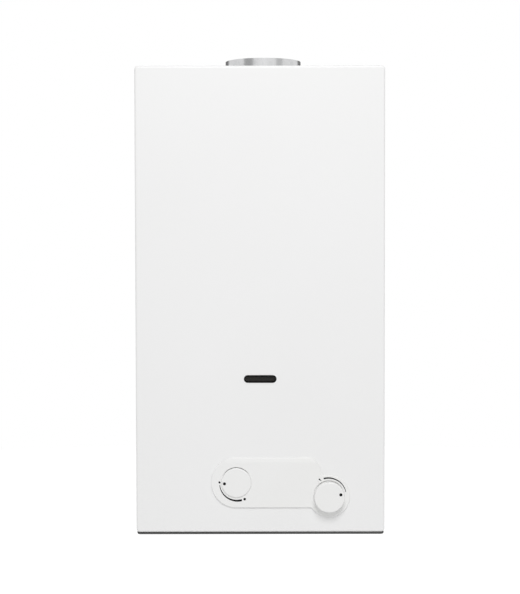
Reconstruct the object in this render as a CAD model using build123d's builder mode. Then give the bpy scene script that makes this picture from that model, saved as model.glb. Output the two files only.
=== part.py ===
from build123d import *
import os
from math import radians, tan

# A wall-hung instantaneous gas water heater with a fan-assisted flue, in millimetres.
# The wall is the plane y = 0 and the front faces -Y, so a depth is a distance from the wall.
# Heights are measured from the lower edge of the cover.

os.makedirs("parts", exist_ok=True)

# Cover and general clearances
case_width = 350.0
case_height = 655.0
case_depth = 220.0
cover_sheet = 1.0
cover_edge_radius = 5.0
cover_front_radius = 3.0
cover_back_gap = 4.0
top_lip = 22.0
bottom_lip = 14.0
slide_gap = 0.3
overrun = 3.0

# Chassis sheets
chassis_sheet = 1.0
flange_depth = 20.0
tongue_side_gap = 15.0
plate_end_gap = 1.0
rib_hanger_gap = 8.0
rib_width = 24.0
rib_height = 5.0
rib_margin = 55.0
wall_hole_radius = 5.0
wall_hole_side_gap = 39.0
wall_hole_low = 185.0
wall_hole_high_gap = 55.0
top_plate_front_gap = 4.0
top_plate_flange = 12.0
louvre_side_gap = 25.0
louvre_flange_gap = 17.0
louvre_width = 4.0
louvre_spacing = 12.0
louvre_count = 7
tray_inset = 0.8
tray_rim = 3.0
tray_sheet = 1.2
tray_edge_radius = 2.4
tray_back_gap = 2.0
tray_slot_length = 60.0
tray_slot_width = 5.0
tray_slot_spacing = 11.0
tray_slot_count = 5
tray_slot_x = 20.0
tray_slot_depth = 55.0

# Screws and rivets
screw_radius = 2.0
screw_head_radius = 3.8
screw_head_height = 2.0
screw_length = 7.0
screw_fit = 0.05
side_screw_margin = 110.0
side_screw_depth = 12.0
tray_screw_side_gap = 25.0
tray_screw_depth = 12.0
notch_gap = 0.2
rivet_radius = 1.6
rivet_head_radius = 3.0
rivet_head_height = 1.4
rivet_count = 4
rivet_first_angle = 45.0

# Sight window
window_width = 45.9
window_height = 10.8
bezel_fit = 0.1
bezel_lip = 1.4
bezel_flange = 4.0
bezel_flange_sheet = 1.5
bezel_proud = 0.4
glass_overlap = 2.0
glass_sheet = 2.0

# Control panel and knobs
gas_knob_x = -34.0
gas_knob_z = 70.5
gas_knob_radius = 20.9
gas_knob_proud = 2.0
gas_knob_length = 15.0
water_knob_x = 96.5
water_knob_z = 51.5
water_knob_radius = 21.2
water_knob_proud = 13.9
water_knob_length = 24.0
knob_gap = 0.6
knob_recess = 0.3
knob_skirt = 0.3
knob_skirt_drop = 3.0
knob_relief = 0.5
knob_relief_rise = 1.2
knob_relief_depth = 4.0
knob_wall = 2.0
knob_face = 2.5
knob_edge_radius = 1.6
knob_hub_radius = 6.5
fascia_rise = 2.6
fascia_wall = 1.5
fascia_end_radius = 35.3
fascia_right_edge = 85.0
fascia_corner_radius = 20.0
fascia_lobe_radius = 29.6
fascia_blend_radius = 5.0
fascia_edge_radius = 1.0
fascia_slope_height = 6.5
fascia_slope_drop = 0.8
fascia_bevel_height = 1.3
fascia_bevel_drop = 1.1
corner_search = 0.5
sleeve_wall = 1.4
sleeve_reach = 7.0
sleeve_hole_gap = 0.3

# Copper heat exchanger
exchanger_side_gap = 57.0
exchanger_back = 35.0
exchanger_front_gap = 49.0
exchanger_corner = 18.0
exchanger_wall = 1.0
shell_top_gap = 210.0
tube_radius = 7.0
tube_wall = 1.0
tube_count = 6
tube_edge_gap = 13.0
tube_drop = 33.0
tube_fit = 0.1
bend_standoff = 8.0
fin_count = 40
fin_thickness = 0.5
fin_height = 60.0
fin_gap = 0.2
coil_gap = 0.3
coil_end_gap = 20.0
coil_rise = 42.0
coil_start_rise = 12.0
coil_swing = 22.7
coil_tail = 58.0
coil_start_bend = 20.0
coil_end_bend = 15.0
hanger_side_gap = 38.0
hanger_width = 30.0
hanger_sheet = 1.5
hanger_foot = 18.0
hanger_height = 44.0

# Burner
burner_bottom = 118.0
frame_height = 78.0
frame_sheet = 1.5
frame_front_margin = 4.0
frame_step = 32.0
frame_foot = 15.0
frame_shell_overlap = 3.0
rail_rise = 6.0
rail_height = 4.0
rail_depth = 12.0
rail_inset = 9.0
bar_count = 13
bar_side_gap = 13.0
bar_back_gap = 17.0
bar_front_gap = 7.0
bar_height = 62.0
bar_duct_width = 9.0
bar_duct_height = 12.0
bar_bore_radius = 3.6
bar_wall = 0.8
bar_web_width = 4.0
bar_head_width = 10.0
bar_head_height = 22.0
port_count = 9
port_width = 2.4
port_depth = 4.0
port_margin = 8.0
manifold_size = 16.0
manifold_bore = 5.5
manifold_end_wall = 6.0
manifold_gap = 14.0
injector_length = 7.0
injector_radius = 4.0
injector_tip_radius = 2.0
injector_bore = 0.8

# Sight hole and electrodes
sight_rise = 20.7
sight_cut_width = 66.0
sight_cut_height = 26.0
electrode_plate_width = 84.0
electrode_plate_height = 38.0
electrode_plate_sheet = 1.5
sight_slot_width = 36.0
sight_slot_height = 9.0
mica_overlap = 3.0
mica_sheet = 0.5
electrode_x = 27.0
electrode_drop = 4.7
electrode_radius = 3.5
electrode_flange_radius = 5.5
electrode_flange = 3.0
electrode_inside = 11.0
electrode_outside = 20.0
electrode_fit = 0.1
electrode_wire_radius = 0.9
electrode_wire_reach = 22.0
electrode_wire_drop = 13.0
electrode_wire_bend = 5.0
boot_radius = 6.0
boot_cover = 9.0
boot_nose = 8.0
boot_lead_setback = 5.0

# Flue hood, fan and collar
duct_wall = 0.8
hood_rise = 33.0
riser_back = 26.0
riser_width = 116.0
riser_corner = 6.0
riser_margin = 14.0
fan_setback = 33.0
fan_inlet_radius = 36.0
scroll_gap = 2.0
scroll_depth = 55.0
scroll_radius = 62.0
scroll_growth = 7.0
outlet_offset = 21.0
outlet_rise = 68.0
front_plate_sheet = 1.2
front_plate_hole = 9.0
standoff_count = 3
standoff_circle_radius = 24.0
standoff_radius = 4.0
motor_gap = 14.0
motor_radius = 33.0
motor_length = 36.0
motor_edge_radius = 4.0
motor_boss_radius = 9.0
motor_boss = 3.0
shaft_radius = 3.0
shaft_fit = 0.05
shaft_overhang = 2.0
impeller_radius = 54.0
impeller_gap = 10.0
impeller_width = 36.0
impeller_disc = 2.0
impeller_ring = 2.0
impeller_hub_radius = 9.0
impeller_hub_length = 18.0
blade_count = 24
blade_length = 10.0
blade_thickness = 1.2
blade_lean_angle = 30.0
cooling_fan_radius = 28.0
cooling_fan_hub = 8.0
cooling_fan_width = 8.0
cooling_fan_gap = 5.0
cooling_blade_count = 6
cooling_blade_chord = 12.0
cooling_blade_sheet = 1.2
cooling_blade_angle = 32.0
collar_x = 5.0
collar_radius = 55.0
collar_wall = 0.8
collar_height = 17.5
collar_flange_radius = 66.0
collar_flange = 1.0
collar_bead = 1.2

# Gas valve
gas_body_width = 72.0
gas_body_height = 58.0
gas_body_depth = 72.0
gas_body_front_gap = 24.0
gas_body_edge = 4.0
gas_plug_radius = 10.0
gas_plug_length = 44.0
plug_fit = 0.05
plug_end_gap = 0.3
stem_radius = 3.5
stem_fit = 0.05
gas_cap_size = 48.0
gas_cap_sheet = 4.0
gas_cap_screw_spacing = 36.0
gas_outlet_offset = 24.0
gas_stem_radius = 7.0
gas_bore_radius = 5.0
gas_bore_length = 30.0
solenoid_radius = 16.0
solenoid_length = 24.0
solenoid_cap_radius = 11.0
solenoid_cap_length = 5.0

# Water valve
water_block_width = 56.0
water_block_height = 48.0
water_block_depth = 60.0
water_block_edge = 4.0
water_plug_radius = 9.0
water_plug_length = 40.0
water_bore_radius = 6.0
water_outlet_offset = 14.0
gland_flats = 24.0
gland_length = 8.0
disc_radius = 34.0
disc_body_width = 17.0
disc_cover_width = 13.0
disc_edge = 1.5
chamber_radius = 24.5
chamber_body_width = 11.0
disc_screw_circle_radius = 29.4
disc_screw_count = 6
disc_screw_length = 24.0
diaphragm_sheet = 2.0
neck_radius = 11.0
rod_radius = 3.0
rod_fit = 0.05
rod_plate_radius = 21.0
rod_plate_sheet = 2.5
rod_plate_gap = 0.3
rod_travel = 4.0
rod_end_gap = 2.2
rod_disc_radius = 9.0
rod_disc_sheet = 3.0
rod_disc_wall = 8.0
rod_disc_gap = 4.0
rod_chamber_radius = 12.0
rod_chamber_length = 18.0
drain_flats = 14.0
drain_length = 8.0
drain_drop = 12.0

# Pipes and their connections
thread_radius = 10.48
thread_length = 9.0
nipple_radius = 12.0
nipple_bore = 7.5
nipple_hex_flats = 27.0
nipple_hex_rise = 8.0
nipple_hex_length = 9.0
nipple_tray_gap = 1.0
hot_nipple_x = -90.0
hot_nipple_depth = 90.0
hot_nipple_top = 28.0
hot_pipe_swing = 24.0
hot_pipe_drop = 110.0
hot_pipe_lead = 52.0
cold_pipe_lead = 25.0
cold_pipe_tail = 38.0
pipe_bend = 15.0
union_flats = 24.0
union_length = 12.0

# Control box, switches and cable entry
box_back = 108.0
box_front_gap = 22.0
box_solenoid_gap = 23.0
box_frame_gap = 3.5
box_height = 137.0
box_wall = 2.0
box_side_gap = 8.0
box_edge = 3.0
lid_sheet = 3.0
lid_lip = 4.0
lid_fit = 0.2
thermostat_x = -70.0
thermostat_radius = 9.0
thermostat_flange_radius = 13.0
thermostat_flange = 1.2
thermostat_length = 12.0
switch_side_gap = 80.0
switch_top_gap = 75.0
switch_base_radius = 30.0
switch_base = 4.0
switch_radius = 26.0
switch_length = 26.0
tap_radius = 3.0
tap_length = 12.0
hose_wall = 2.0
hose_fit = 0.1
hose_bend_share = 0.68
gland_side_gap = 36.0
gland_depth = 60.0
gland_bore = 4.0
gland_radius = 8.0
gland_nut_radius = 11.0
gland_nut_length = 6.0
gland_above = 10.0
gland_below = 10.0

# Leads: free points between two ends that the pieces give
lead_radius = 2.0
lead_gap = 0.5
run_share = 0.45
ignition_lead_points = [(-70, -197, 210), (-115, -200, 192), (-142, -182, 166)]
sensor_lead_points = [(-5, -199, 204), (-50, -200, 199), (-102, -198, 184), (-131, -180, 162)]
thermostat_lead_points = [
    (-70, -202, 412),
    (-104, -204, 380),
    (-146, -198, 330),
    (-157, -190, 250),
    (-154, -182, 175),
]
fan_lead_points = [
    (-122, -160, 548),
    (-156, -166, 498),
    (-163, -172, 400),
    (-162, -178, 280),
    (-162, -176, 180),
]
solenoid_lead_rise = 26.0
solenoid_lead_bend = 10.0

# Heights and depths that follow from the sizes above
half_case = case_width / 2
cover_front_inside = case_depth - cover_sheet
top_plate_top = case_height - cover_sheet - slide_gap
top_plate_bottom = top_plate_top - chassis_sheet
tray_top = -slide_gap
tray_bottom = tray_top - tray_rim
tray_floor = tray_bottom + tray_sheet
plate_half_width = half_case - cover_sheet - slide_gap
plate_low = cover_edge_radius + plate_end_gap
plate_high = case_height - cover_edge_radius - plate_end_gap
curl_half_width = half_case - cover_edge_radius
tongue_half_width = half_case - tongue_side_gap
wall_hole_x = half_case - wall_hole_side_gap
wall_hole_high = case_height - wall_hole_high_gap
tray_screw_x = half_case - tray_screw_side_gap
collar_depth = case_depth / 2
louvre_inner = collar_x + collar_flange_radius + louvre_flange_gap
louvre_length = half_case - louvre_side_gap - louvre_inner
louvre_x = louvre_inner + louvre_length / 2
gland_x = gland_side_gap - half_case
switch_x = half_case - switch_side_gap
switch_z = case_height - switch_top_gap

shell_bottom = burner_bottom + frame_height
shell_top = case_height - shell_top_gap
shell_height = shell_top - shell_bottom
exchanger_width = case_width - 2 * exchanger_side_gap
exchanger_front = case_depth - exchanger_front_gap
exchanger_depth = exchanger_front - exchanger_back
exchanger_mid_depth = exchanger_back + exchanger_depth / 2
hanger_x = exchanger_width / 2 - hanger_side_gap
rib_x = hanger_x - hanger_width / 2 - rib_hanger_gap - rib_width / 2
tube_z = shell_top - tube_drop
front_tube_depth = exchanger_front - tube_edge_gap
rear_tube_depth = exchanger_back + tube_edge_gap
tube_pitch = (front_tube_depth - rear_tube_depth) / (tube_count - 1)
tube_end_x = exchanger_width / 2 + bend_standoff

window_z = shell_bottom + sight_rise
electrode_z = window_z - electrode_drop
electrode_plate_face = exchanger_front + electrode_plate_sheet
boot_end = electrode_plate_face + electrode_outside + boot_nose

hood_top = shell_top + hood_rise
scroll_z = hood_top + scroll_gap + scroll_radius + scroll_growth
outlet_right = scroll_radius + 3 * scroll_growth
scroll_x = collar_x - (outlet_offset + outlet_right) / 2
outlet_top = scroll_z + outlet_rise
fan_back = exchanger_mid_depth - fan_setback
fan_front = fan_back + scroll_depth
front_plate_face = fan_front + front_plate_sheet
motor_back = front_plate_face + motor_gap
motor_front = motor_back + motor_length
impeller_back = fan_back + impeller_gap
impeller_front = impeller_back + impeller_width
cooling_fan_back = motor_front + motor_boss + cooling_fan_gap
cooling_fan_front = cooling_fan_back + cooling_fan_width
riser_top = scroll_z + fan_inlet_radius + riser_margin
rivet_circle = (collar_radius + collar_flange_radius) / 2

fascia_front = case_depth + fascia_rise
gas_knob_front = fascia_front + gas_knob_proud
water_knob_front = fascia_front + water_knob_proud

gas_body_front = case_depth - gas_body_front_gap
gas_body_top = gas_knob_z + gas_body_height / 2
gas_body_right = gas_knob_x + gas_body_width / 2
gas_body_left = gas_knob_x - gas_body_width / 2
valve_depth = gas_body_front - gas_body_depth / 2
gas_outlet_x = gas_knob_x + gas_outlet_offset
rail_top = burner_bottom + rail_rise + rail_height
bar_back = exchanger_back + bar_back_gap
bar_front = exchanger_front - bar_front_gap
bar_length = bar_front - bar_back
manifold_back = bar_front + manifold_gap
manifold_depth = manifold_back + manifold_size / 2
manifold_front = manifold_back + manifold_size
frame_reach = manifold_front + frame_front_margin
manifold_z = rail_top + bar_duct_height / 2
frame_half_width = exchanger_width / 2 - exchanger_wall
bar_pitch = 2 * (frame_half_width - bar_side_gap) / bar_count

water_block_front = valve_depth + water_block_depth / 2
water_block_left = water_knob_x - water_block_width / 2
water_block_top = water_knob_z + water_block_height / 2
water_block_bottom = water_knob_z - water_block_height / 2
disc_body_left = water_block_left - disc_body_width
disc_cover_right = disc_body_left - diaphragm_sheet
disc_cover_left = disc_cover_right - disc_cover_width
rod_plate_right = disc_cover_right - rod_plate_gap
chamber_cover_width = rod_plate_gap + rod_plate_sheet + rod_travel + rod_end_gap
rod_disc_right = gas_body_right - rod_disc_wall - rod_disc_gap
water_outlet_x = water_knob_x + water_outlet_offset

coil_x = exchanger_width / 2 + coil_gap + tube_radius
coil_end_x = coil_x + coil_swing
coil_back = exchanger_back - coil_gap - tube_radius
coil_front = exchanger_front + coil_gap + tube_radius
coil_start_z = shell_bottom + coil_start_rise
coil_turns = int((tube_z - coil_end_gap - coil_start_z) / coil_rise) - 1
coil_joint_z = coil_start_z - coil_tail
coil_corner = exchanger_corner + coil_gap + tube_radius

box_left = -(half_case - cover_sheet - box_side_gap)
solenoid_end = gas_body_left - solenoid_length - solenoid_cap_length
frame_side = -(frame_half_width + frame_sheet)
box_right = min(solenoid_end - box_solenoid_gap, frame_side - box_frame_gap)
box_front = case_depth - box_front_gap
box_top = tray_floor + box_height

BASE = (Align.CENTER, Align.CENTER, Align.MIN)
HANGING = (Align.CENTER, Align.CENTER, Align.MAX)
HEX_SIDES = 6
SIDES = (-1, 1)


def block(x_span, depth_span, z_span, mode=Mode.ADD):
    """Add or cut a block between two x, two depths and two heights."""
    centre = (sum(x_span) / 2, -sum(depth_span) / 2, sum(z_span) / 2)
    with Locations(centre):
        Box(abs(x_span[1] - x_span[0]), depth_span[1] - depth_span[0], z_span[1] - z_span[0], mode=mode)


def rod_up(x, depth, z_span, radius, mode=Mode.ADD):
    """Add or cut an upright round rod between two heights."""
    with Locations(Plane((x, -depth, z_span[0]))):
        Cylinder(radius, z_span[1] - z_span[0], align=BASE, mode=mode)


def rod_out(x, z, depth_span, radius, mode=Mode.ADD):
    """Add or cut a round rod that points out from the wall between two depths."""
    with Locations(Plane((x, -depth_span[0], z), z_dir=(0, -1, 0))):
        Cylinder(radius, depth_span[1] - depth_span[0], align=BASE, mode=mode)


def rod_across(depth, z, x_span, radius, mode=Mode.ADD):
    """Add or cut a round rod that runs to the right between two x."""
    with Locations(Plane((x_span[0], -depth, z), z_dir=(1, 0, 0))):
        Cylinder(radius, x_span[1] - x_span[0], align=BASE, mode=mode)


def hexagon(plane, flats, length, mode=Mode.ADD):
    """Add or cut a hexagonal bar that stands on a plane."""
    with BuildSketch(plane) as profile:
        RegularPolygon(flats / 2, HEX_SIDES, major_radius=False)
    extrude(profile.sketch, amount=length, mode=mode)


def pan_screw(seat, length):
    """Add a pan-head screw whose head stands on a plane and whose shank goes below it."""
    with Locations(seat):
        Cylinder(screw_head_radius, screw_head_height, align=BASE)
        Cylinder(screw_radius, length, align=HANGING)


def screw_hole(seat, length):
    """Cut the clearance hole of a screw that is driven through a plane."""
    with Locations(seat):
        Cylinder(screw_radius + screw_fit, length, align=HANGING, mode=Mode.SUBTRACT)


def swept_tube(points, radii, radius, bore=0):
    """Add a round tube along straight runs joined by arcs, and report its volume against its length."""
    with BuildLine() as route:
        FilletPolyline(*points, radius=radii)
    with BuildSketch(Plane(route.line @ 0, z_dir=route.line % 0)) as section:
        Circle(radius)
        if bore:
            Circle(bore, mode=Mode.SUBTRACT)
    tube = sweep(section.sketch, path=route.line)
    expected = section.sketch.area * route.wire().length
    print(f"tube radius {radius}: volume share {tube.volume / expected:.4f}")


def easy_radii(points):
    """Return the largest arc radius that the two runs at each corner leave room for."""
    radii = []
    for before, corner, after in zip(points, points[1:], points[2:]):
        arriving = Vector(corner) - Vector(before)
        leaving = Vector(after) - Vector(corner)
        half_turn = radians(arriving.get_angle(leaving)) / 2
        radii.append(run_share * min(arriving.length, leaving.length) / tan(half_turn))
    return radii


def lead(points):
    """Add an insulated lead along points, with easy bends."""
    radii = easy_radii(points)
    print("lead radii", [round(radius, 1) for radius in radii])
    swept_tube(points, radii, lead_radius)


def save(builder, name):
    """Label a finished piece and write its STEP file."""
    builder.part.label = name
    export_step(builder.part, f"parts/{name}.step")


def side_screw_seats():
    """Return the planes on the cover's sides where the screws into the chassis sit."""
    heights = (side_screw_margin, case_height - side_screw_margin)
    return [
        Plane((side * half_case, -side_screw_depth, z), z_dir=(side, 0, 0))
        for side in SIDES
        for z in heights
    ]


def tray_screw_seats():
    """Return the planes under the tray where its screws into the back plate sit."""
    return [Plane((side * tray_screw_x, -tray_screw_depth, tray_bottom), z_dir=(0, 0, -1)) for side in SIDES]


def gas_cap_seats():
    """Return the planes on the gas valve's cap where its screws sit."""
    face = Plane((gas_knob_x, -(gas_body_front + gas_cap_sheet), gas_knob_z), z_dir=(0, -1, 0))
    return [
        Plane(face.from_local_coords((across, up, 0)), z_dir=face.z_dir)
        for across in (-gas_cap_screw_spacing / 2, gas_cap_screw_spacing / 2)
        for up in (-gas_cap_screw_spacing / 2, gas_cap_screw_spacing / 2)
    ]


def disc_seats():
    """Return the planes on the water valve's round cover where its screws sit."""
    face = Plane((disc_cover_left, -valve_depth, gas_knob_z), z_dir=(-1, 0, 0))
    ring = PolarLocations(disc_screw_circle_radius, disc_screw_count).local_locations
    return [Plane(face.from_local_coords(place.position), z_dir=face.z_dir) for place in ring]


def rivet_places():
    """Return the centres of the collar's rivets on the top plate."""
    ring = PolarLocations(rivet_circle, rivet_count, start_angle=rivet_first_angle).local_locations
    return [(collar_x + place.position.X, collar_depth - place.position.Y) for place in ring]


def fascia_profile():
    """Return the outline of the control panel: a round end, a straight body and a round lobe."""
    with BuildSketch(Plane.XZ.offset(case_depth)) as outline:
        with Locations(((gas_knob_x + fascia_right_edge) / 2, gas_knob_z)):
            Rectangle(fascia_right_edge - gas_knob_x, 2 * fascia_end_radius)
        fillet(outline.vertices().group_by(Axis.X)[-1].sort_by(Axis.Y)[-1], fascia_corner_radius)
        with Locations((gas_knob_x, gas_knob_z)):
            Circle(fascia_end_radius)
        with Locations((water_knob_x, water_knob_z)):
            Circle(fascia_lobe_radius)
        lobe = Vector(water_knob_x, water_knob_z)
        hollows = [
            corner
            for corner in outline.vertices()
            if abs((Vector(corner.X, corner.Y) - lobe).length - fascia_lobe_radius) < corner_search
        ]
        fillet(hollows, fascia_blend_radius)
    return outline.sketch


def scroll_profile(plane, inset, rise):
    """Return the fan scroll's outline: three growing quarter turns that open into a straight outlet."""
    first = scroll_radius - inset
    second = first + scroll_growth
    third = second + scroll_growth
    right = outlet_right - inset
    left = outlet_offset + inset
    with BuildSketch(plane) as outline:
        with BuildLine():
            CenterArc((0, 0), first, 90, 90)
            CenterArc((scroll_growth, 0), second, 180, 90)
            CenterArc((scroll_growth, scroll_growth), third, 270, 90)
            Polyline((right, scroll_growth), (right, rise), (left, rise), (left, first), (0, first))
        make_face()
    return outline.sketch


def knob(x, z, front, radius, length):
    """Add a hollow round knob with a rounded rim, a skirt and a hub that takes a valve stem."""
    inside = radius - knob_wall
    skirt = radius + knob_skirt
    skirt_start = front - fascia_front + knob_skirt_drop
    bore = stem_radius + stem_fit
    with BuildSketch(Plane((x, -front, z), x_dir=(1, 0, 0), z_dir=(0, 0, 1))) as profile:
        with BuildLine():
            Polyline(
                (0, 0),
                (radius, 0),
                (radius, skirt_start),
                (skirt, skirt_start),
                (skirt, length),
                (inside, length),
                (inside, knob_face),
                (knob_hub_radius, knob_face),
                (knob_hub_radius, length),
                (bore, length),
                (bore, knob_face),
                (0, knob_face),
                close=True,
            )
        make_face()
        fillet(profile.vertices().group_by(Axis.Y)[0].sort_by(Axis.X)[-1], knob_edge_radius)
    revolve(profile.sketch, axis=Axis((x, 0, z), (0, 1, 0)))


def nipple(x, depth, top):
    """Add a threaded pipe connection that stands in the tray and carries a hexagon."""
    rod_up(x, depth, (tray_bottom - thread_length, tray_bottom), thread_radius)
    rod_up(x, depth, (tray_bottom, top), nipple_radius)
    hexagon(Plane((x, -depth, nipple_hex_rise)), nipple_hex_flats, nipple_hex_length)
    rod_up(x, depth, (tray_bottom - thread_length, top), nipple_bore, Mode.SUBTRACT)


# Front cover: a five-sided pressed sheet, open behind, with short lips above and below
with BuildPart() as front_cover:
    with BuildSketch(Plane.XZ.offset(cover_back_gap)):
        with Locations((0, case_height / 2)):
            Rectangle(case_width, case_height)
    extrude(amount=case_depth - cover_back_gap)
    fillet(front_cover.edges().filter_by(Axis.Y), cover_edge_radius)
    fillet(front_cover.faces().sort_by(Axis.Y)[0].edges(), cover_front_radius)
    offset(amount=-cover_sheet, openings=front_cover.faces().sort_by(Axis.Y)[-1])
    curl_span = (-curl_half_width, curl_half_width)
    top_span = (case_height - cover_edge_radius, case_height + overrun)
    block(curl_span, (0, case_depth - top_lip), top_span, Mode.SUBTRACT)
    block(curl_span, (0, case_depth - bottom_lip), (-overrun, cover_edge_radius), Mode.SUBTRACT)
    with BuildSketch(Plane.XZ.offset(cover_front_inside - overrun)):
        with Locations((0, window_z)):
            SlotOverall(window_width, window_height)
    extrude(amount=cover_sheet + 2 * overrun, mode=Mode.SUBTRACT)
    sleeve_hole = knob_gap + sleeve_wall + sleeve_hole_gap
    front_wall = (cover_front_inside - overrun, case_depth + overrun)
    rod_out(gas_knob_x, gas_knob_z, front_wall, gas_knob_radius + sleeve_hole, Mode.SUBTRACT)
    rod_out(water_knob_x, water_knob_z, front_wall, water_knob_radius + sleeve_hole, Mode.SUBTRACT)
    notch = screw_radius + notch_gap
    for seat in side_screw_seats():
        z = seat.origin.Z
        side_wall = (seat.origin.X - overrun, seat.origin.X + overrun)
        rod_across(side_screw_depth, z, side_wall, notch, Mode.SUBTRACT)
        block(side_wall, (0, side_screw_depth), (z - notch, z + notch), Mode.SUBTRACT)
save(front_cover, "front_cover")

# Control panel: a raised shell with a sleeve round each knob that goes through the cover
with BuildPart() as control_fascia:
    panel = fascia_profile()
    extrude(panel, amount=fascia_rise)
    fillet(control_fascia.faces().sort_by(Axis.Y)[0].edges(), fascia_edge_radius)
    slope_top = gas_knob_z + fascia_end_radius
    slope_low = slope_top - fascia_slope_height
    bevel_low = slope_top - fascia_bevel_height
    bevel_back = fascia_slope_drop - fascia_front
    bevel_lean = fascia_bevel_drop / fascia_bevel_height
    with BuildSketch(Plane.YZ.offset(-half_case)) as slope:
        with BuildLine():
            Polyline(
                (-fascia_front, slope_low),
                (bevel_back, bevel_low),
                (bevel_back + bevel_lean * (fascia_bevel_height + overrun), slope_top + overrun),
                (-fascia_front - overrun, slope_top + overrun),
                close=True,
            )
        make_face()
    extrude(slope.sketch, amount=case_width, mode=Mode.SUBTRACT)
    with BuildSketch(Plane.XZ.offset(case_depth)) as panel_inside:
        add(Plane.XZ.offset(case_depth).to_local_coords(panel))
        offset(amount=-fascia_wall)
    extrude(panel_inside.sketch, amount=fascia_rise - fascia_wall, mode=Mode.SUBTRACT)
    sleeve_span = (case_depth - sleeve_reach, fascia_front - fascia_wall)
    bore_span = (case_depth - sleeve_reach, fascia_front)
    for x, z, radius in (
        (gas_knob_x, gas_knob_z, gas_knob_radius + knob_gap),
        (water_knob_x, water_knob_z, water_knob_radius + knob_gap),
    ):
        rod_out(x, z, sleeve_span, radius + sleeve_wall)
        rod_out(x, z, bore_span, radius, Mode.SUBTRACT)
        with Locations(Plane((x, -fascia_front, z), z_dir=(0, -1, 0))):
            Cone(radius, radius + knob_recess, knob_recess, align=HANGING, mode=Mode.SUBTRACT)
    relief_radius = gas_knob_radius + knob_gap + knob_relief - knob_relief_rise
    relief_span = (fascia_front - knob_relief_depth, fascia_front)
    rod_out(gas_knob_x, gas_knob_z + knob_relief_rise, relief_span, relief_radius, Mode.SUBTRACT)
save(control_fascia, "control_fascia")

# Sight window: a black frame pushed into the slot from behind, and its pane
with BuildPart() as sight_window_bezel:
    flange_back = cover_front_inside - bezel_flange_sheet
    bezel_width = window_width - 2 * bezel_fit
    bezel_height = window_height - 2 * bezel_fit
    with BuildSketch(Plane.XZ.offset(flange_back)):
        with Locations((0, window_z)):
            SlotOverall(bezel_width + 2 * bezel_flange, bezel_height + 2 * bezel_flange)
    extrude(amount=bezel_flange_sheet)
    with BuildSketch(Plane.XZ.offset(flange_back)):
        with Locations((0, window_z)):
            SlotOverall(bezel_width, bezel_height)
    extrude(amount=case_depth + bezel_proud - flange_back)
    with BuildSketch(Plane.XZ.offset(flange_back)):
        with Locations((0, window_z)):
            SlotOverall(bezel_width - 2 * bezel_lip, bezel_height - 2 * bezel_lip)
    extrude(amount=case_depth + bezel_proud - flange_back, mode=Mode.SUBTRACT)
save(sight_window_bezel, "sight_window_bezel")

with BuildPart() as sight_glass:
    with BuildSketch(Plane.XZ.offset(flange_back)):
        with Locations((0, window_z)):
            glass_margin = 2 * (glass_overlap - bezel_lip)
            SlotOverall(bezel_width + glass_margin, bezel_height + glass_margin)
    extrude(amount=-glass_sheet)
save(sight_glass, "sight_glass")

# Knobs: hollow from behind, with a hub for the stem
with BuildPart() as gas_knob:
    knob(gas_knob_x, gas_knob_z, gas_knob_front, gas_knob_radius, gas_knob_length)
save(gas_knob, "gas_knob")

with BuildPart() as water_knob:
    knob(water_knob_x, water_knob_z, water_knob_front, water_knob_radius, water_knob_length)
save(water_knob, "water_knob")

# Back plate: flat on the wall, flanged forwards all round, with two pressed ribs
with BuildPart() as back_plate:
    sheet_span = (0, chassis_sheet)
    tongue_span = (-tongue_half_width, tongue_half_width)
    block((-plate_half_width, plate_half_width), sheet_span, (plate_low, plate_high))
    block(tongue_span, sheet_span, (tray_floor, top_plate_bottom))
    block(tongue_span, (0, flange_depth), (top_plate_bottom - chassis_sheet, top_plate_bottom))
    block(tongue_span, (0, flange_depth), (tray_floor, tray_floor + chassis_sheet))
    for side in SIDES:
        flange_span = sorted((side * plate_half_width, side * (plate_half_width - chassis_sheet)))
        block(flange_span, (0, flange_depth), (plate_low, plate_high))
        rib_low = rib_margin
        rib_high = case_height - rib_margin
        rib_span = (side * rib_x - rib_width / 2, side * rib_x + rib_width / 2)
        hollow_span = (rib_span[0] + chassis_sheet, rib_span[1] - chassis_sheet)
        block(rib_span, (0, rib_height), (rib_low, rib_high))
        hollow_depth = (-overrun, rib_height - chassis_sheet)
        block(hollow_span, hollow_depth, (rib_low + chassis_sheet, rib_high - chassis_sheet), Mode.SUBTRACT)
        for z in (wall_hole_low, wall_hole_high):
            hole_span = (-overrun, chassis_sheet + overrun)
            rod_out(side * wall_hole_x, z, hole_span, wall_hole_radius, Mode.SUBTRACT)
    for seat in side_screw_seats() + tray_screw_seats():
        screw_hole(seat, screw_length + overrun)
save(back_plate, "back_plate")

# Top plate: lies on the back plate's flange, under the cover's lip, and carries the flue collar
with BuildPart() as top_plate:
    plate_half = curl_half_width - slide_gap
    plate_front = cover_front_inside - top_plate_front_gap
    block((-plate_half, plate_half), (0, plate_front), (top_plate_bottom, top_plate_top))
    lip_span = (top_plate_bottom - top_plate_flange, top_plate_top)
    block((-plate_half, plate_half), (plate_front - chassis_sheet, plate_front), lip_span)
    for side in SIDES:
        side_span = sorted((side * plate_half, side * (plate_half - chassis_sheet)))
        block(side_span, (flange_depth, plate_front), lip_span)
        with BuildSketch(Plane.XY.offset(top_plate_bottom)):
            with Locations((side * louvre_x, -collar_depth)):
                with GridLocations(louvre_length, louvre_spacing, 1, louvre_count):
                    SlotOverall(louvre_length, louvre_width)
        extrude(amount=chassis_sheet, mode=Mode.SUBTRACT)
    flue_span = (top_plate_bottom - overrun, top_plate_top + overrun)
    rod_up(collar_x, collar_depth, flue_span, collar_radius - collar_wall - collar_bead, Mode.SUBTRACT)
    for x, depth in rivet_places():
        rod_up(x, depth, flue_span, rivet_radius + screw_fit, Mode.SUBTRACT)
save(top_plate, "top_plate")

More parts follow.
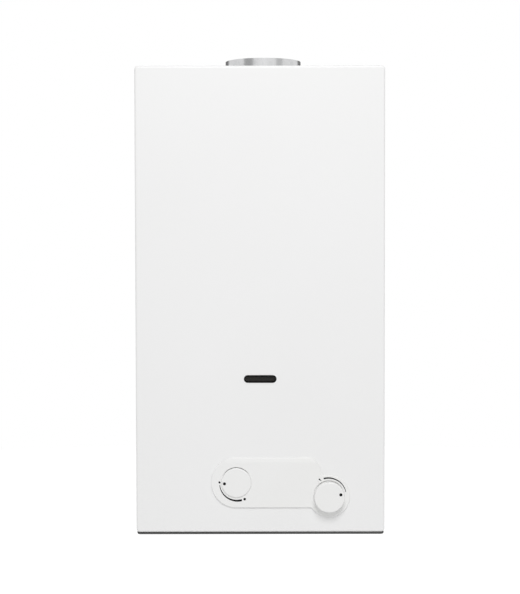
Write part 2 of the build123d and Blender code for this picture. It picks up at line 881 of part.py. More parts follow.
# Bottom tray: a shallow pan under the cover, open behind, with holes for the connections and for air
with BuildPart() as bottom_tray:
    tray_half = half_case - tray_inset
    tray_front = case_depth - tray_inset
    block((-tray_half, tray_half), (tray_back_gap, tray_front), (tray_bottom, tray_top))
    front_corners = bottom_tray.edges().filter_by(Axis.Z).group_by(Axis.Y)[0]
    fillet(front_corners, cover_edge_radius)
    under_edges = bottom_tray.faces().sort_by(Axis.Z)[0].edges().filter_by(
        lambda edge: edge.center().Y < -tray_back_gap - tray_inset
    )
    fillet(under_edges, tray_edge_radius)
    pan_half = tray_half - tray_sheet
    pan_span = (0, tray_front - tray_sheet)
    block((-pan_half, pan_half), pan_span, (tray_floor, tray_top + overrun), Mode.SUBTRACT)
    floor_span = (tray_bottom - overrun, tray_floor + overrun)
    for x, depth in (
        (gas_knob_x, valve_depth),
        (water_knob_x, valve_depth),
        (hot_nipple_x, hot_nipple_depth),
    ):
        rod_up(x, depth, floor_span, nipple_radius + nipple_tray_gap, Mode.SUBTRACT)
    rod_up(gland_x, gland_depth, floor_span, gland_radius + screw_fit, Mode.SUBTRACT)
    with BuildSketch(Plane.XY.offset(tray_bottom)):
        with Locations((tray_slot_x, -tray_slot_depth)):
            with GridLocations(tray_slot_length, tray_slot_spacing, 1, tray_slot_count):
                SlotOverall(tray_slot_length, tray_slot_width)
    extrude(amount=tray_sheet, mode=Mode.SUBTRACT)
    for seat in tray_screw_seats():
        screw_hole(seat, screw_length)
save(bottom_tray, "bottom_tray")

with BuildPart() as casing_screws:
    for seat in side_screw_seats() + tray_screw_seats():
        pan_screw(seat, screw_length)
save(casing_screws, "casing_screws")

# Flue collar: a flanged spigot with a rim rolled inwards, riveted to the top plate
with BuildPart() as flue_collar:
    collar_top = case_height + collar_height
    collar_span = (top_plate_top, collar_top)
    flange_span = (top_plate_top, top_plate_top + collar_flange)
    rod_up(collar_x, collar_depth, flange_span, collar_flange_radius)
    rod_up(collar_x, collar_depth, collar_span, collar_radius)
    collar_inside = collar_radius - collar_wall
    bead_low = collar_top - collar_bead
    rod_up(collar_x, collar_depth, (top_plate_top, bead_low), collar_inside, Mode.SUBTRACT)
    rod_up(collar_x, collar_depth, collar_span, collar_inside - collar_bead, Mode.SUBTRACT)
    for x, depth in rivet_places():
        rod_up(x, depth, flange_span, rivet_radius + screw_fit, Mode.SUBTRACT)
save(flue_collar, "flue_collar")

with BuildPart() as collar_rivets:
    rivet_seat = top_plate_top + collar_flange
    for x, depth in rivet_places():
        rod_up(x, depth, (top_plate_bottom - rivet_head_height, rivet_seat + rivet_head_height), rivet_radius)
        rod_up(x, depth, (rivet_seat, rivet_seat + rivet_head_height), rivet_head_radius)
        rod_up(x, depth, (top_plate_bottom - rivet_head_height, top_plate_bottom), rivet_head_radius)
save(collar_rivets, "collar_rivets")

# Flue hood: gathers the flue gas above the fins and leads it up behind the fan
with BuildPart() as flue_hood:
    riser_front = fan_back
    riser_depth = riser_front - riser_back
    shell_centre = (0, -exchanger_mid_depth)
    riser_centre = (scroll_x, -(riser_front + riser_back) / 2)
    for wall, mode in ((0, Mode.ADD), (duct_wall, Mode.SUBTRACT)):
        with BuildSketch(Plane.XY.offset(shell_top)):
            with Locations(shell_centre):
                foot_width = exchanger_width - 2 * wall
                foot_depth = exchanger_depth - 2 * wall
                RectangleRounded(foot_width, foot_depth, exchanger_corner - wall)
        with BuildSketch(Plane.XY.offset(hood_top)) as hood_neck:
            with Locations(riser_centre):
                RectangleRounded(riser_width - 2 * wall, riser_depth - 2 * wall, riser_corner - wall)
        loft(mode=mode)
        extrude(hood_neck.sketch, amount=riser_top - hood_top - wall, mode=mode)
    inlet_span = (riser_front - overrun, riser_front + overrun)
    rod_out(scroll_x, scroll_z, inlet_span, fan_inlet_radius, Mode.SUBTRACT)
save(flue_hood, "flue_hood")

# Fan scroll with an open front, a closing plate that carries the motor, and the pressure tap
with BuildPart() as fan_scroll:
    scroll_plane = Plane((scroll_x, -fan_back, scroll_z), x_dir=(1, 0, 0), z_dir=(0, -1, 0))
    extrude(scroll_profile(scroll_plane, 0, outlet_rise), amount=scroll_depth)
    inside_plane = scroll_plane.offset(duct_wall)
    extrude(scroll_profile(inside_plane, duct_wall, outlet_rise), amount=scroll_depth, mode=Mode.SUBTRACT)
    rod_out(scroll_x, scroll_z, inlet_span, fan_inlet_radius, Mode.SUBTRACT)
    tap_depth = fan_back + scroll_depth / 2
    scroll_right = scroll_x + outlet_right
    rod_across(tap_depth, switch_z, (scroll_right, scroll_right + tap_length), tap_radius)
save(fan_scroll, "fan_scroll")

with BuildPart() as fan_front_plate:
    extrude(scroll_profile(scroll_plane.offset(scroll_depth), 0, outlet_rise), amount=front_plate_sheet)
    rod_out(scroll_x, scroll_z, (fan_front - overrun, fan_front + overrun), front_plate_hole, Mode.SUBTRACT)
    with Locations(scroll_plane.offset(scroll_depth + front_plate_sheet)):
        with PolarLocations(standoff_circle_radius, standoff_count, start_angle=90):
            Cylinder(standoff_radius, motor_gap, align=BASE)
save(fan_front_plate, "fan_front_plate")

with BuildPart() as fan_motor:
    rod_out(scroll_x, scroll_z, (motor_back, motor_front), motor_radius)
    fillet(fan_motor.edges().filter_by(GeomType.CIRCLE), motor_edge_radius)
    rod_out(scroll_x, scroll_z, (motor_back - motor_boss, motor_front + motor_boss), motor_boss_radius)
    bearing_span = (motor_back - motor_boss, motor_front + motor_boss)
    rod_out(scroll_x, scroll_z, bearing_span, shaft_radius + shaft_fit, Mode.SUBTRACT)
save(fan_motor, "fan_motor")

with BuildPart() as fan_shaft:
    shaft_back = impeller_front - impeller_hub_length
    rod_out(scroll_x, scroll_z, (shaft_back, cooling_fan_front + shaft_overhang), shaft_radius)
save(fan_shaft, "fan_shaft")

# Impeller: a drum of leaning blades between a disc and a ring
with BuildPart() as fan_impeller:
    rod_out(scroll_x, scroll_z, (impeller_front - impeller_disc, impeller_front), impeller_radius)
    rod_out(scroll_x, scroll_z, (impeller_front - impeller_hub_length, impeller_front), impeller_hub_radius)
    ring_span = (impeller_back, impeller_back + impeller_ring)
    blade_circle = impeller_radius - blade_length / 2
    rod_out(scroll_x, scroll_z, ring_span, impeller_radius)
    rod_out(scroll_x, scroll_z, ring_span, impeller_radius - blade_length, Mode.SUBTRACT)
    with Locations(Plane((scroll_x, -impeller_back, scroll_z), z_dir=(0, -1, 0))):
        with PolarLocations(blade_circle, blade_count):
            Box(blade_length, blade_thickness, impeller_width, rotation=(0, 0, blade_lean_angle), align=BASE)
    hub_span = (impeller_front - impeller_hub_length, impeller_front)
    rod_out(scroll_x, scroll_z, hub_span, shaft_radius + shaft_fit, Mode.SUBTRACT)
save(fan_impeller, "fan_impeller")

with BuildPart() as cooling_fan:
    hub_span = (cooling_fan_back, cooling_fan_front)
    rod_out(scroll_x, scroll_z, hub_span, cooling_fan_hub)
    blade_mid = (cooling_fan_back + cooling_fan_front) / 2
    blade_inner = cooling_fan_hub - cooling_blade_sheet
    with Locations(Plane((scroll_x, -blade_mid, scroll_z), z_dir=(0, -1, 0))):
        with PolarLocations((cooling_fan_radius + blade_inner) / 2, cooling_blade_count):
            Box(
                cooling_fan_radius - blade_inner,
                cooling_blade_chord,
                cooling_blade_sheet,
                rotation=(cooling_blade_angle, 0, 0),
            )
    rod_out(scroll_x, scroll_z, hub_span, shaft_radius + shaft_fit, Mode.SUBTRACT)
save(cooling_fan, "cooling_fan")

# Flue transition: from the scroll's square outlet to the round collar
with BuildPart() as flue_transition:
    outlet_centre = (collar_x, -(fan_back + front_plate_face) / 2)
    outlet_width = outlet_right - outlet_offset
    outlet_depth = front_plate_face - fan_back
    for wall, mode in ((0, Mode.ADD), (duct_wall, Mode.SUBTRACT)):
        with BuildSketch(Plane.XY.offset(outlet_top)):
            with Locations(outlet_centre):
                RectangleRounded(outlet_width - 2 * wall, outlet_depth - 2 * wall, riser_corner - wall)
        with BuildSketch(Plane.XY.offset(top_plate_bottom)):
            with Locations((collar_x, -collar_depth)):
                Circle(collar_radius - wall)
        loft(mode=mode)
save(flue_transition, "flue_transition")

# Heat exchanger: a copper shell round the flame, with finned tubes in its top
with BuildPart() as exchanger_shell:
    for wall, mode in ((0, Mode.ADD), (exchanger_wall, Mode.SUBTRACT)):
        with BuildSketch(Plane.XY.offset(shell_bottom)):
            with Locations(shell_centre):
                shell_width = exchanger_width - 2 * wall
                shell_depth = exchanger_depth - 2 * wall
                RectangleRounded(shell_width, shell_depth, exchanger_corner - wall)
        extrude(amount=shell_height, mode=mode)
    for i in range(tube_count):
        across = (-tube_end_x, tube_end_x)
        rod_across(front_tube_depth - i * tube_pitch, tube_z, across, tube_radius + tube_fit, Mode.SUBTRACT)
    cut_x = (-sight_cut_width / 2, sight_cut_width / 2)
    cut_z = (window_z - sight_cut_height / 2, window_z + sight_cut_height / 2)
    block(cut_x, (exchanger_front - overrun, exchanger_front + overrun), cut_z, Mode.SUBTRACT)
save(exchanger_shell, "exchanger_shell")

with BuildPart() as exchanger_fin:
    with BuildSketch(Plane.YZ):
        with Locations((-exchanger_mid_depth, tube_z)):
            Rectangle(exchanger_depth - 2 * (exchanger_wall + fin_gap), fin_height)
            with GridLocations(tube_pitch, tube_pitch, tube_count, 1):
                Circle(tube_radius + tube_fit, mode=Mode.SUBTRACT)
    extrude(amount=fin_thickness / 2, both=True)

with BuildPart() as exchanger_fins:
    fin_span = exchanger_width - 2 * exchanger_corner - 2 * fin_thickness
    fin_pitch = fin_span / (fin_count - 1)
    with GridLocations(fin_pitch, fin_pitch, fin_count, 1):
        add(exchanger_fin.part, clean=False)
save(exchanger_fins, "exchanger_fins")

with BuildPart() as exchanger_tubes:
    with BuildLine() as serpentine:
        for i in range(tube_count):
            turn_side = 1 if i % 2 == 0 else -1
            y = -(front_tube_depth - i * tube_pitch)
            start = (-turn_side * tube_end_x, y, tube_z)
            end = (turn_side * tube_end_x, y, tube_z)
            Line(start, end)
            if i < tube_count - 1:
                bend = (turn_side * (tube_end_x + tube_pitch / 2), y + tube_pitch / 2, tube_z)
                ThreePointArc(end, bend, (end[0], y + tube_pitch, tube_z))
    with BuildSketch(Plane(serpentine.line @ 0, z_dir=serpentine.line % 0)) as tube_section:
        Circle(tube_radius)
        Circle(tube_radius - tube_wall, mode=Mode.SUBTRACT)
    sweep(tube_section.sketch, path=serpentine.line)
save(exchanger_tubes, "exchanger_tubes")

# Water coil: wound round the shell, rising along the back, from the cold side into the front tube
with BuildPart() as water_coil:
    coil_points = [
        (coil_end_x, -front_tube_depth, coil_joint_z),
        (coil_end_x, -front_tube_depth, coil_start_z),
        (coil_x, -coil_back, coil_start_z),
    ]
    coil_radii = [coil_start_bend, coil_corner]
    for turn in range(1, coil_turns + 1):
        z = coil_start_z + turn * coil_rise
        coil_points += [(-coil_x, -coil_back, z), (-coil_x, -coil_front, z), (coil_x, -coil_front, z)]
        coil_points += [(coil_x, -coil_back, z)]
        coil_radii += [coil_corner] * 4
    coil_end_z = coil_start_z + (coil_turns + 1) * coil_rise
    coil_points += [
        (-coil_x, -coil_back, coil_end_z),
        (-coil_end_x, -front_tube_depth, coil_end_z),
        (-coil_end_x, -front_tube_depth, tube_z),
        (-tube_end_x, -front_tube_depth, tube_z),
    ]
    coil_radii += [coil_corner, coil_end_bend, coil_end_bend]
    swept_tube(coil_points, coil_radii, tube_radius, tube_radius - tube_wall)
save(water_coil, "water_coil")

with BuildPart() as hot_pipe:
    hot_x = -(tube_end_x + hot_pipe_swing)
    hot_points = [
        (-tube_end_x, -rear_tube_depth, tube_z),
        (hot_x, -rear_tube_depth, tube_z),
        (hot_x, -rear_tube_depth, hot_pipe_drop),
        (hot_nipple_x, -hot_nipple_depth, hot_nipple_top + hot_pipe_lead),
        (hot_nipple_x, -hot_nipple_depth, hot_nipple_top),
    ]
    swept_tube(hot_points, [pipe_bend] * 3, tube_radius, tube_radius - tube_wall)
save(hot_pipe, "hot_pipe")

with BuildPart() as cold_pipe:
    cold_points = [
        (water_outlet_x, -valve_depth, water_block_top),
        (water_outlet_x, -valve_depth, water_block_top + cold_pipe_lead),
        (coil_end_x, -front_tube_depth, coil_joint_z - cold_pipe_tail),
        (coil_end_x, -front_tube_depth, coil_joint_z),
    ]
    swept_tube(cold_points, [pipe_bend] * 2, tube_radius, tube_radius - tube_wall)
save(cold_pipe, "cold_pipe")

with BuildPart() as pipe_union_nuts:
    for x, depth, low in (
        (coil_end_x, front_tube_depth, coil_joint_z - union_length / 2),
        (water_outlet_x, valve_depth, water_block_top),
        (hot_nipple_x, hot_nipple_depth, hot_nipple_top),
    ):
        hexagon(Plane((x, -depth, low)), union_flats, union_length)
        rod_up(x, depth, (low, low + union_length), tube_radius + tube_fit, Mode.SUBTRACT)
save(pipe_union_nuts, "pipe_union_nuts")

# Hangers that hold the exchanger off the back plate
with BuildPart() as exchanger_brackets:
    hanger_low = tube_z - hanger_height / 2
    hanger_high = tube_z + hanger_height / 2
    for side in SIDES:
        hanger_span = (side * hanger_x - hanger_width / 2, side * hanger_x + hanger_width / 2)
        foot_span = (hanger_low - hanger_foot, hanger_low + hanger_sheet)
        web_span = (chassis_sheet, exchanger_back)
        block(hanger_span, (chassis_sheet, chassis_sheet + hanger_sheet), foot_span)
        block(hanger_span, web_span, (hanger_low, hanger_low + hanger_sheet))
        block(hanger_span, (exchanger_back - hanger_sheet, exchanger_back), (hanger_low, hanger_high))
save(exchanger_brackets, "exchanger_brackets")

# Burner frame: two side plates on the back plate, joined by two rails under the bars
with BuildPart() as burner_frame:
    step_z = burner_bottom + frame_step
    for side in SIDES:
        plate_span = sorted((side * frame_half_width, side * (frame_half_width + frame_sheet)))
        foot_x = sorted((side * (frame_half_width - frame_foot), side * (frame_half_width + frame_sheet)))
        upper_reach = exchanger_front + frame_shell_overlap
        block(plate_span, (chassis_sheet, frame_reach), (burner_bottom, step_z))
        block(plate_span, (chassis_sheet, upper_reach), (step_z, shell_bottom))
        block(foot_x, (chassis_sheet, chassis_sheet + frame_sheet), (burner_bottom, shell_bottom))
    rail_z = (rail_top - rail_height, rail_top)
    for rail_mid in (bar_back + rail_inset, bar_front - rail_inset):
        rail_span = (rail_mid - rail_depth / 2, rail_mid + rail_depth / 2)
        block((-frame_half_width, frame_half_width), rail_span, rail_z)
save(burner_frame, "burner_frame")

# Burner bars: folded sheet, with a mixing duct below, a thin web and a slotted head
with BuildPart() as burner_bar:
    bar_top = rail_top + bar_height
    duct_top = rail_top + bar_duct_height
    head_low = bar_top - bar_head_height
    for wall, mode in ((0, Mode.ADD), (bar_wall, Mode.SUBTRACT)):
        bar_span = (bar_back + wall, bar_front - wall)
        for width, low, high in (
            (bar_duct_width, rail_top + wall, duct_top - wall),
            (bar_web_width, duct_top - wall, head_low + wall),
            (bar_head_width, head_low + wall, bar_top - wall),
        ):
            block((wall - width / 2, width / 2 - wall), bar_span, (low, high), mode)
    rod_out(0, manifold_z, (bar_front - bar_wall - overrun, bar_front), bar_bore_radius, Mode.SUBTRACT)
    port_pitch = (bar_length - 2 * port_margin) / (port_count - 1)
    for i in range(port_count):
        port_mid = bar_back + port_margin + i * port_pitch
        port_span = (port_mid - port_width / 2, port_mid + port_width / 2)
        port_half = bar_head_width / 2
        block((-port_half, port_half), port_span, (bar_top - port_depth, bar_top), Mode.SUBTRACT)

with BuildPart() as burner_bars:
    with GridLocations(bar_pitch, bar_pitch, bar_count, 1):
        add(burner_bar.part, clean=False)
save(burner_bars, "burner_bars")

# Gas manifold with its feed from the valve, and an injector in front of every bar
with BuildPart() as gas_manifold:
    manifold_x = (-frame_half_width, frame_half_width)
    manifold_low = manifold_z - manifold_size / 2
    block(manifold_x, (manifold_back, manifold_front), (manifold_low, manifold_z + manifold_size / 2))
    rod_up(gas_outlet_x, manifold_depth, (gas_body_top, manifold_low), gas_stem_radius)
    bore_half = frame_half_width - manifold_end_wall
    rod_across(manifold_depth, manifold_z, (-bore_half, bore_half), manifold_bore, Mode.SUBTRACT)
    rod_up(gas_outlet_x, manifold_depth, (gas_body_top, manifold_z), gas_bore_radius, Mode.SUBTRACT)
save(gas_manifold, "gas_manifold")

with BuildPart() as gas_injectors:
    for i in range(bar_count):
        x = (i - (bar_count - 1) / 2) * bar_pitch
        with Locations(Plane((x, -manifold_back, manifold_z), z_dir=(0, 1, 0))):
            Cone(injector_radius, injector_tip_radius, injector_length, align=BASE)
            Cylinder(injector_bore, injector_length, align=BASE, mode=Mode.SUBTRACT)
save(gas_injectors, "gas_injectors")

# Plate over the shell's sight hole, its mica pane and the two electrodes
with BuildPart() as electrode_plate:
    plate_x = (-electrode_plate_width / 2, electrode_plate_width / 2)
    plate_z = (window_z - electrode_plate_height / 2, window_z + electrode_plate_height / 2)
    block(plate_x, (exchanger_front, electrode_plate_face), plate_z)
    with BuildSketch(Plane.XZ.offset(exchanger_front)):
        with Locations((0, window_z)):
            SlotOverall(sight_slot_width, sight_slot_height)
    extrude(amount=electrode_plate_sheet, mode=Mode.SUBTRACT)
    for side in SIDES:
        hole_span = (exchanger_front, electrode_plate_face)
        rod_out(side * electrode_x, electrode_z, hole_span, electrode_radius + electrode_fit, Mode.SUBTRACT)
save(electrode_plate, "electrode_plate")

with BuildPart() as sight_mica:
    with BuildSketch(Plane.XZ.offset(electrode_plate_face)):
        with Locations((0, window_z)):
            SlotOverall(sight_slot_width + mica_overlap, sight_slot_height + mica_overlap)
    extrude(amount=mica_sheet)
save(sight_mica, "sight_mica")


def electrode(x):
    """Add a ceramic electrode with its flange on the plate and a wire bent down to the flame."""
    flange_span = (electrode_plate_face, electrode_plate_face + electrode_flange)
    tip = exchanger_front - electrode_inside
    rod_out(x, electrode_z, (tip, electrode_plate_face + electrode_outside), electrode_radius)
    rod_out(x, electrode_z, flange_span, electrode_flange_radius)
    wire_end = tip - electrode_wire_reach
    wire_points = [
        (x, -tip, electrode_z),
        (x, -wire_end, electrode_z),
        (x, -wire_end, electrode_z - electrode_wire_drop),
    ]
    swept_tube(wire_points, [electrode_wire_bend], electrode_wire_radius)


with BuildPart() as ignition_electrode:
    electrode(-electrode_x)
save(ignition_electrode, "ignition_electrode")

with BuildPart() as flame_sensor:
    electrode(electrode_x)
save(flame_sensor, "flame_sensor")

with BuildPart() as electrode_boots:
    ceramic_end = electrode_plate_face + electrode_outside
    for side in SIDES:
        rod_out(side * electrode_x, electrode_z, (ceramic_end - boot_cover, boot_end), boot_radius)
        socket = (ceramic_end - boot_cover, ceramic_end)
        rod_out(side * electrode_x, electrode_z, socket, electrode_radius + electrode_fit, Mode.SUBTRACT)
save(electrode_boots, "electrode_boots")

# Gas valve: a cast body with a turning plug, a valve disc on the push rod and a solenoid
with BuildPart() as gas_valve_body:
    body_span = (gas_body_front - gas_body_depth, gas_body_front)
    body_low = gas_knob_z - gas_body_height / 2
    block((gas_body_left, gas_body_right), body_span, (body_low, gas_body_top))
    fillet(gas_valve_body.edges().filter_by(Axis.Y), gas_body_edge)
    plug_span = (gas_body_front - gas_plug_length, gas_body_front)
    rod_out(gas_knob_x, gas_knob_z, plug_span, gas_plug_radius, Mode.SUBTRACT)
    chamber_right = gas_body_right - rod_disc_wall
    chamber_span = (chamber_right - rod_chamber_length, chamber_right)
    rod_across(valve_depth, gas_knob_z, chamber_span, rod_chamber_radius, Mode.SUBTRACT)
    rod_across(valve_depth, gas_knob_z, (chamber_right, gas_body_right), rod_radius + rod_fit, Mode.SUBTRACT)
    rod_up(gas_knob_x, valve_depth, (body_low, gas_knob_z), gas_bore_radius, Mode.SUBTRACT)
    outlet_low = gas_body_top - gas_bore_length
    rod_up(gas_outlet_x, manifold_depth, (outlet_low, gas_body_top), gas_bore_radius, Mode.SUBTRACT)
    link_span = (valve_depth, manifold_depth)
    rod_out(gas_outlet_x, outlet_low + gas_bore_radius, link_span, gas_bore_radius, Mode.SUBTRACT)
    for seat in gas_cap_seats():
        screw_hole(seat, gas_cap_sheet + screw_length)
save(gas_valve_body, "gas_valve_body")

with BuildPart() as gas_spindle:
    plug_back = gas_body_front - gas_plug_length + plug_end_gap
    plug_front = gas_body_front - plug_end_gap
    rod_out(gas_knob_x, gas_knob_z, (plug_back, plug_front), gas_plug_radius - plug_fit)
    rod_out(gas_knob_x, gas_knob_z, (plug_front, gas_knob_front - knob_face), stem_radius)
save(gas_spindle, "gas_spindle")

# The gas valve's screwed cap and the water valve's gland nut, which keep the two plugs in
with BuildPart() as valve_caps:
    cap_face = gas_body_front + gas_cap_sheet
    with BuildSketch(Plane.XZ.offset(gas_body_front)):
        with Locations((gas_knob_x, gas_knob_z)):
            RectangleRounded(gas_cap_size, gas_cap_size, gas_body_edge)
    extrude(amount=gas_cap_sheet)
    rod_out(gas_knob_x, gas_knob_z, (gas_body_front, cap_face), stem_radius + stem_fit, Mode.SUBTRACT)
    for seat in gas_cap_seats():
        screw_hole(seat, gas_cap_sheet)
    gland_plane = Plane((water_knob_x, -water_block_front, water_knob_z), z_dir=(0, -1, 0))
    hexagon(gland_plane, gland_flats, gland_length)
    gland_span = (water_block_front, water_block_front + gland_length)
    rod_out(water_knob_x, water_knob_z, gland_span, stem_radius + stem_fit, Mode.SUBTRACT)
save(valve_caps, "valve_caps")

with BuildPart() as gas_solenoid:
    coil_span = (gas_body_left - solenoid_length, gas_body_left)
    rod_across(valve_depth, gas_knob_z, coil_span, solenoid_radius)
    cap_span = (coil_span[0] - solenoid_cap_length, coil_span[0])
    rod_across(valve_depth, gas_knob_z, cap_span, solenoid_cap_radius)
save(gas_solenoid, "gas_solenoid")

with BuildPart() as gas_inlet_nipple:
    nipple(gas_knob_x, valve_depth, body_low)
save(gas_inlet_nipple, "gas_inlet_nipple")

# Water valve: a brass block with the selector plug, and a round diaphragm housing beside it
with BuildPart() as water_valve_body:
    block_x = (water_block_left, water_block_left + water_block_width)
    block_back = water_block_front - water_block_depth
    block(block_x, (block_back, water_block_front), (water_block_bottom, water_block_top))
    fillet(water_valve_body.edges().filter_by(Axis.Y), water_block_edge)
    rod_across(valve_depth, gas_knob_z, (disc_body_left, water_block_left + water_block_edge), disc_radius)
    chamber_span = (disc_body_left, disc_body_left + chamber_body_width)
    rod_across(valve_depth, gas_knob_z, chamber_span, chamber_radius, Mode.SUBTRACT)
    plug_span = (water_block_front - water_plug_length, water_block_front)
    rod_out(water_knob_x, water_knob_z, plug_span, water_plug_radius, Mode.SUBTRACT)
    rod_up(water_knob_x, valve_depth, (water_block_bottom, water_knob_z), water_bore_radius, Mode.SUBTRACT)
    outlet_span = (water_knob_z, water_block_top)
    rod_up(water_outlet_x, valve_depth, outlet_span, water_bore_radius, Mode.SUBTRACT)
    for seat in disc_seats():
        screw_hole(seat, disc_screw_length)
save(water_valve_body, "water_valve_body")

with BuildPart() as water_valve_cover:
    rod_across(valve_depth, gas_knob_z, (disc_cover_left, disc_cover_right), disc_radius)
    fillet(water_valve_cover.edges().filter_by(GeomType.CIRCLE).sort_by(Axis.X)[0], disc_edge)
    rod_across(valve_depth, gas_knob_z, (gas_body_right, disc_cover_left), neck_radius)
    chamber_span = (disc_cover_right - chamber_cover_width, disc_cover_right)
    rod_across(valve_depth, gas_knob_z, chamber_span, chamber_radius, Mode.SUBTRACT)
    guide_span = (gas_body_right, disc_cover_right)
    rod_across(valve_depth, gas_knob_z, guide_span, rod_radius + rod_fit, Mode.SUBTRACT)
    for seat in disc_seats():
        screw_hole(seat, disc_screw_length)
save(water_valve_cover, "water_valve_cover")

with BuildPart() as diaphragm:
    rod_across(valve_depth, gas_knob_z, (disc_cover_right, disc_body_left), disc_radius)
    for seat in disc_seats():
        screw_hole(seat, disc_screw_length)
save(diaphragm, "diaphragm")

with BuildPart() as push_rod:
    rod_plate_span = (rod_plate_right - rod_plate_sheet, rod_plate_right)
    rod_across(valve_depth, gas_knob_z, rod_plate_span, rod_plate_radius)
    rod_across(valve_depth, gas_knob_z, (rod_disc_right, rod_plate_right), rod_radius)
    rod_across(valve_depth, gas_knob_z, (rod_disc_right - rod_disc_sheet, rod_disc_right), rod_disc_radius)
save(push_rod, "push_rod")

with BuildPart() as water_spindle:
    plug_back = water_block_front - water_plug_length + plug_end_gap
    plug_front = water_block_front - plug_end_gap
    rod_out(water_knob_x, water_knob_z, (plug_back, plug_front), water_plug_radius - plug_fit)
    rod_out(water_knob_x, water_knob_z, (plug_front, water_knob_front - knob_face), stem_radius)
save(water_spindle, "water_spindle")

with BuildPart() as valve_screws:
    for seat in gas_cap_seats():
        pan_screw(seat, gas_cap_sheet + screw_length)
    for seat in disc_seats():
        pan_screw(seat, disc_screw_length)
save(valve_screws, "valve_screws")

with BuildPart() as water_nipples:
    nipple(water_knob_x, valve_depth, water_block_bottom)
    nipple(hot_nipple_x, hot_nipple_depth, hot_nipple_top)
save(water_nipples, "water_nipples")

with BuildPart() as drain_plug:
    drain_plane = Plane((block_x[1], -valve_depth, water_knob_z - drain_drop), z_dir=(1, 0, 0))
    hexagon(drain_plane, drain_flats, drain_length)
save(drain_plug, "drain_plug")

# Control box on the tray, with its lid at the front
with BuildPart() as control_box:
    box_x = (box_left, box_right)
    block(box_x, (box_back, box_front), (tray_floor, box_top))
    fillet(control_box.edges().filter_by(Axis.Y), box_edge)
    inside_x = (box_left + box_wall, box_right - box_wall)
    inside_z = (tray_floor + box_wall, box_top - box_wall)
    block(inside_x, (box_back + box_wall, box_front), inside_z, Mode.SUBTRACT)
save(control_box, "control_box")

with BuildPart() as control_box_lid:
    block(box_x, (box_front, box_front + lid_sheet), (tray_floor, box_top))
    fillet(control_box_lid.edges().filter_by(Axis.Y), box_edge)
    lip_x = (inside_x[0] + lid_fit, inside_x[1] - lid_fit)
    lip_z = (inside_z[0] + lid_fit, inside_z[1] - lid_fit)
    block(lip_x, (box_front - lid_lip, box_front), lip_z)
    hollow_x = (lip_x[0] + box_wall, lip_x[1] - box_wall)
    hollow_z = (lip_z[0] + box_wall, lip_z[1] - box_wall)
    block(hollow_x, (box_front - lid_lip, box_front), hollow_z, Mode.SUBTRACT)
save(control_box_lid, "control_box_lid")

with BuildPart() as overheat_thermostat:
    flange_end = exchanger_front + thermostat_flange
    rod_out(thermostat_x, tube_z, (exchanger_front, flange_end), thermostat_flange_radius)
    rod_out(thermostat_x, tube_z, (exchanger_front, exchanger_front + thermostat_length), thermostat_radius)
save(overheat_thermostat, "overheat_thermostat")

# Pressure switch that proves the fan, and its hose from the scroll
with BuildPart() as pressure_switch:
    base_end = chassis_sheet + switch_base
    switch_front = base_end + switch_length
    rod_out(switch_x, switch_z, (chassis_sheet, base_end), switch_base_radius)
    rod_out(switch_x, switch_z, (base_end, switch_front), switch_radius)
    rod_out(switch_x, switch_z, (switch_front, switch_front + tap_length), tap_radius)
save(pressure_switch, "pressure_switch")

with BuildPart() as pressure_hose:
    hose_bore = tap_radius + hose_fit
    hose_points = [
        (switch_x, -switch_front, switch_z),
        (switch_x, -tap_depth, switch_z),
        (scroll_right, -tap_depth, switch_z),
    ]
    hose_bend = hose_bend_share * (switch_x - scroll_right)
    swept_tube(hose_points, [hose_bend], hose_bore + hose_wall, hose_bore)
save(pressure_hose, "pressure_hose")

# Leads from the control box to the electrodes, the thermostat, the fan and the solenoid
with BuildPart() as electrode_leads:
    boot_mid = boot_end - boot_lead_setback
    for x, middle in ((-electrode_x, ignition_lead_points), (electrode_x, sensor_lead_points)):
        first = (x - boot_radius - lead_gap, -boot_mid, electrode_z)
        last = (middle[-1][0], middle[-1][1], box_top)
        lead([first, *middle, last])
save(electrode_leads, "electrode_leads")

with BuildPart() as wiring:
    thermostat_start = (thermostat_x, -(exchanger_front + thermostat_length), tube_z)
    motor_mid = (motor_back + motor_front) / 2
    fan_start = (scroll_x - motor_radius - lead_gap, -motor_mid, scroll_z)
    for first, middle in ((thermostat_start, thermostat_lead_points), (fan_start, fan_lead_points)):
        last = (middle[-1][0], middle[-1][1], box_top)
        lead([first, *middle, last])
    solenoid_x = gas_body_left - solenoid_length / 2
    solenoid_top = gas_knob_z + solenoid_radius
    solenoid_points = [
        (solenoid_x, -valve_depth, solenoid_top),
        (solenoid_x, -valve_depth, solenoid_top + solenoid_lead_rise),
        (box_right, -valve_depth, solenoid_top + solenoid_lead_rise),
    ]
    swept_tube(solenoid_points, [solenoid_lead_bend], lead_radius)
save(wiring, "wiring")

# Cable gland in the tray for the mains lead
with BuildPart() as mains_gland:
    gland_low = tray_bottom - gland_below
    gland_high = tray_floor + gland_above
    rod_up(gland_x, gland_depth, (gland_low, gland_high), gland_radius)
    rod_up(gland_x, gland_depth, (tray_bottom - gland_nut_length, tray_bottom), gland_nut_radius)
    rod_up(gland_x, gland_depth, (tray_floor, tray_floor + gland_nut_length), gland_nut_radius)
    rod_up(gland_x, gland_depth, (gland_low, gland_high), gland_bore, Mode.SUBTRACT)
save(mains_gland, "mains_gland")
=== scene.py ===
"""Finishes and fine details of a wall-hung gas water heater, built round its CAD frame.

Lengths are in metres. The wall is the plane y = 0, the front faces -Y and +Z is up.
"""

import logging
import math
from abc import ABC, abstractmethod
from dataclasses import dataclass
from enum import Enum
from typing import ClassVar, Mapping, Sequence

import bmesh
import bpy
from bmesh.types import BMVert
from bpy.types import Material, Mesh, Node, NodeSocket, NodeTree, Object, World
from mathutils import Matrix, Vector


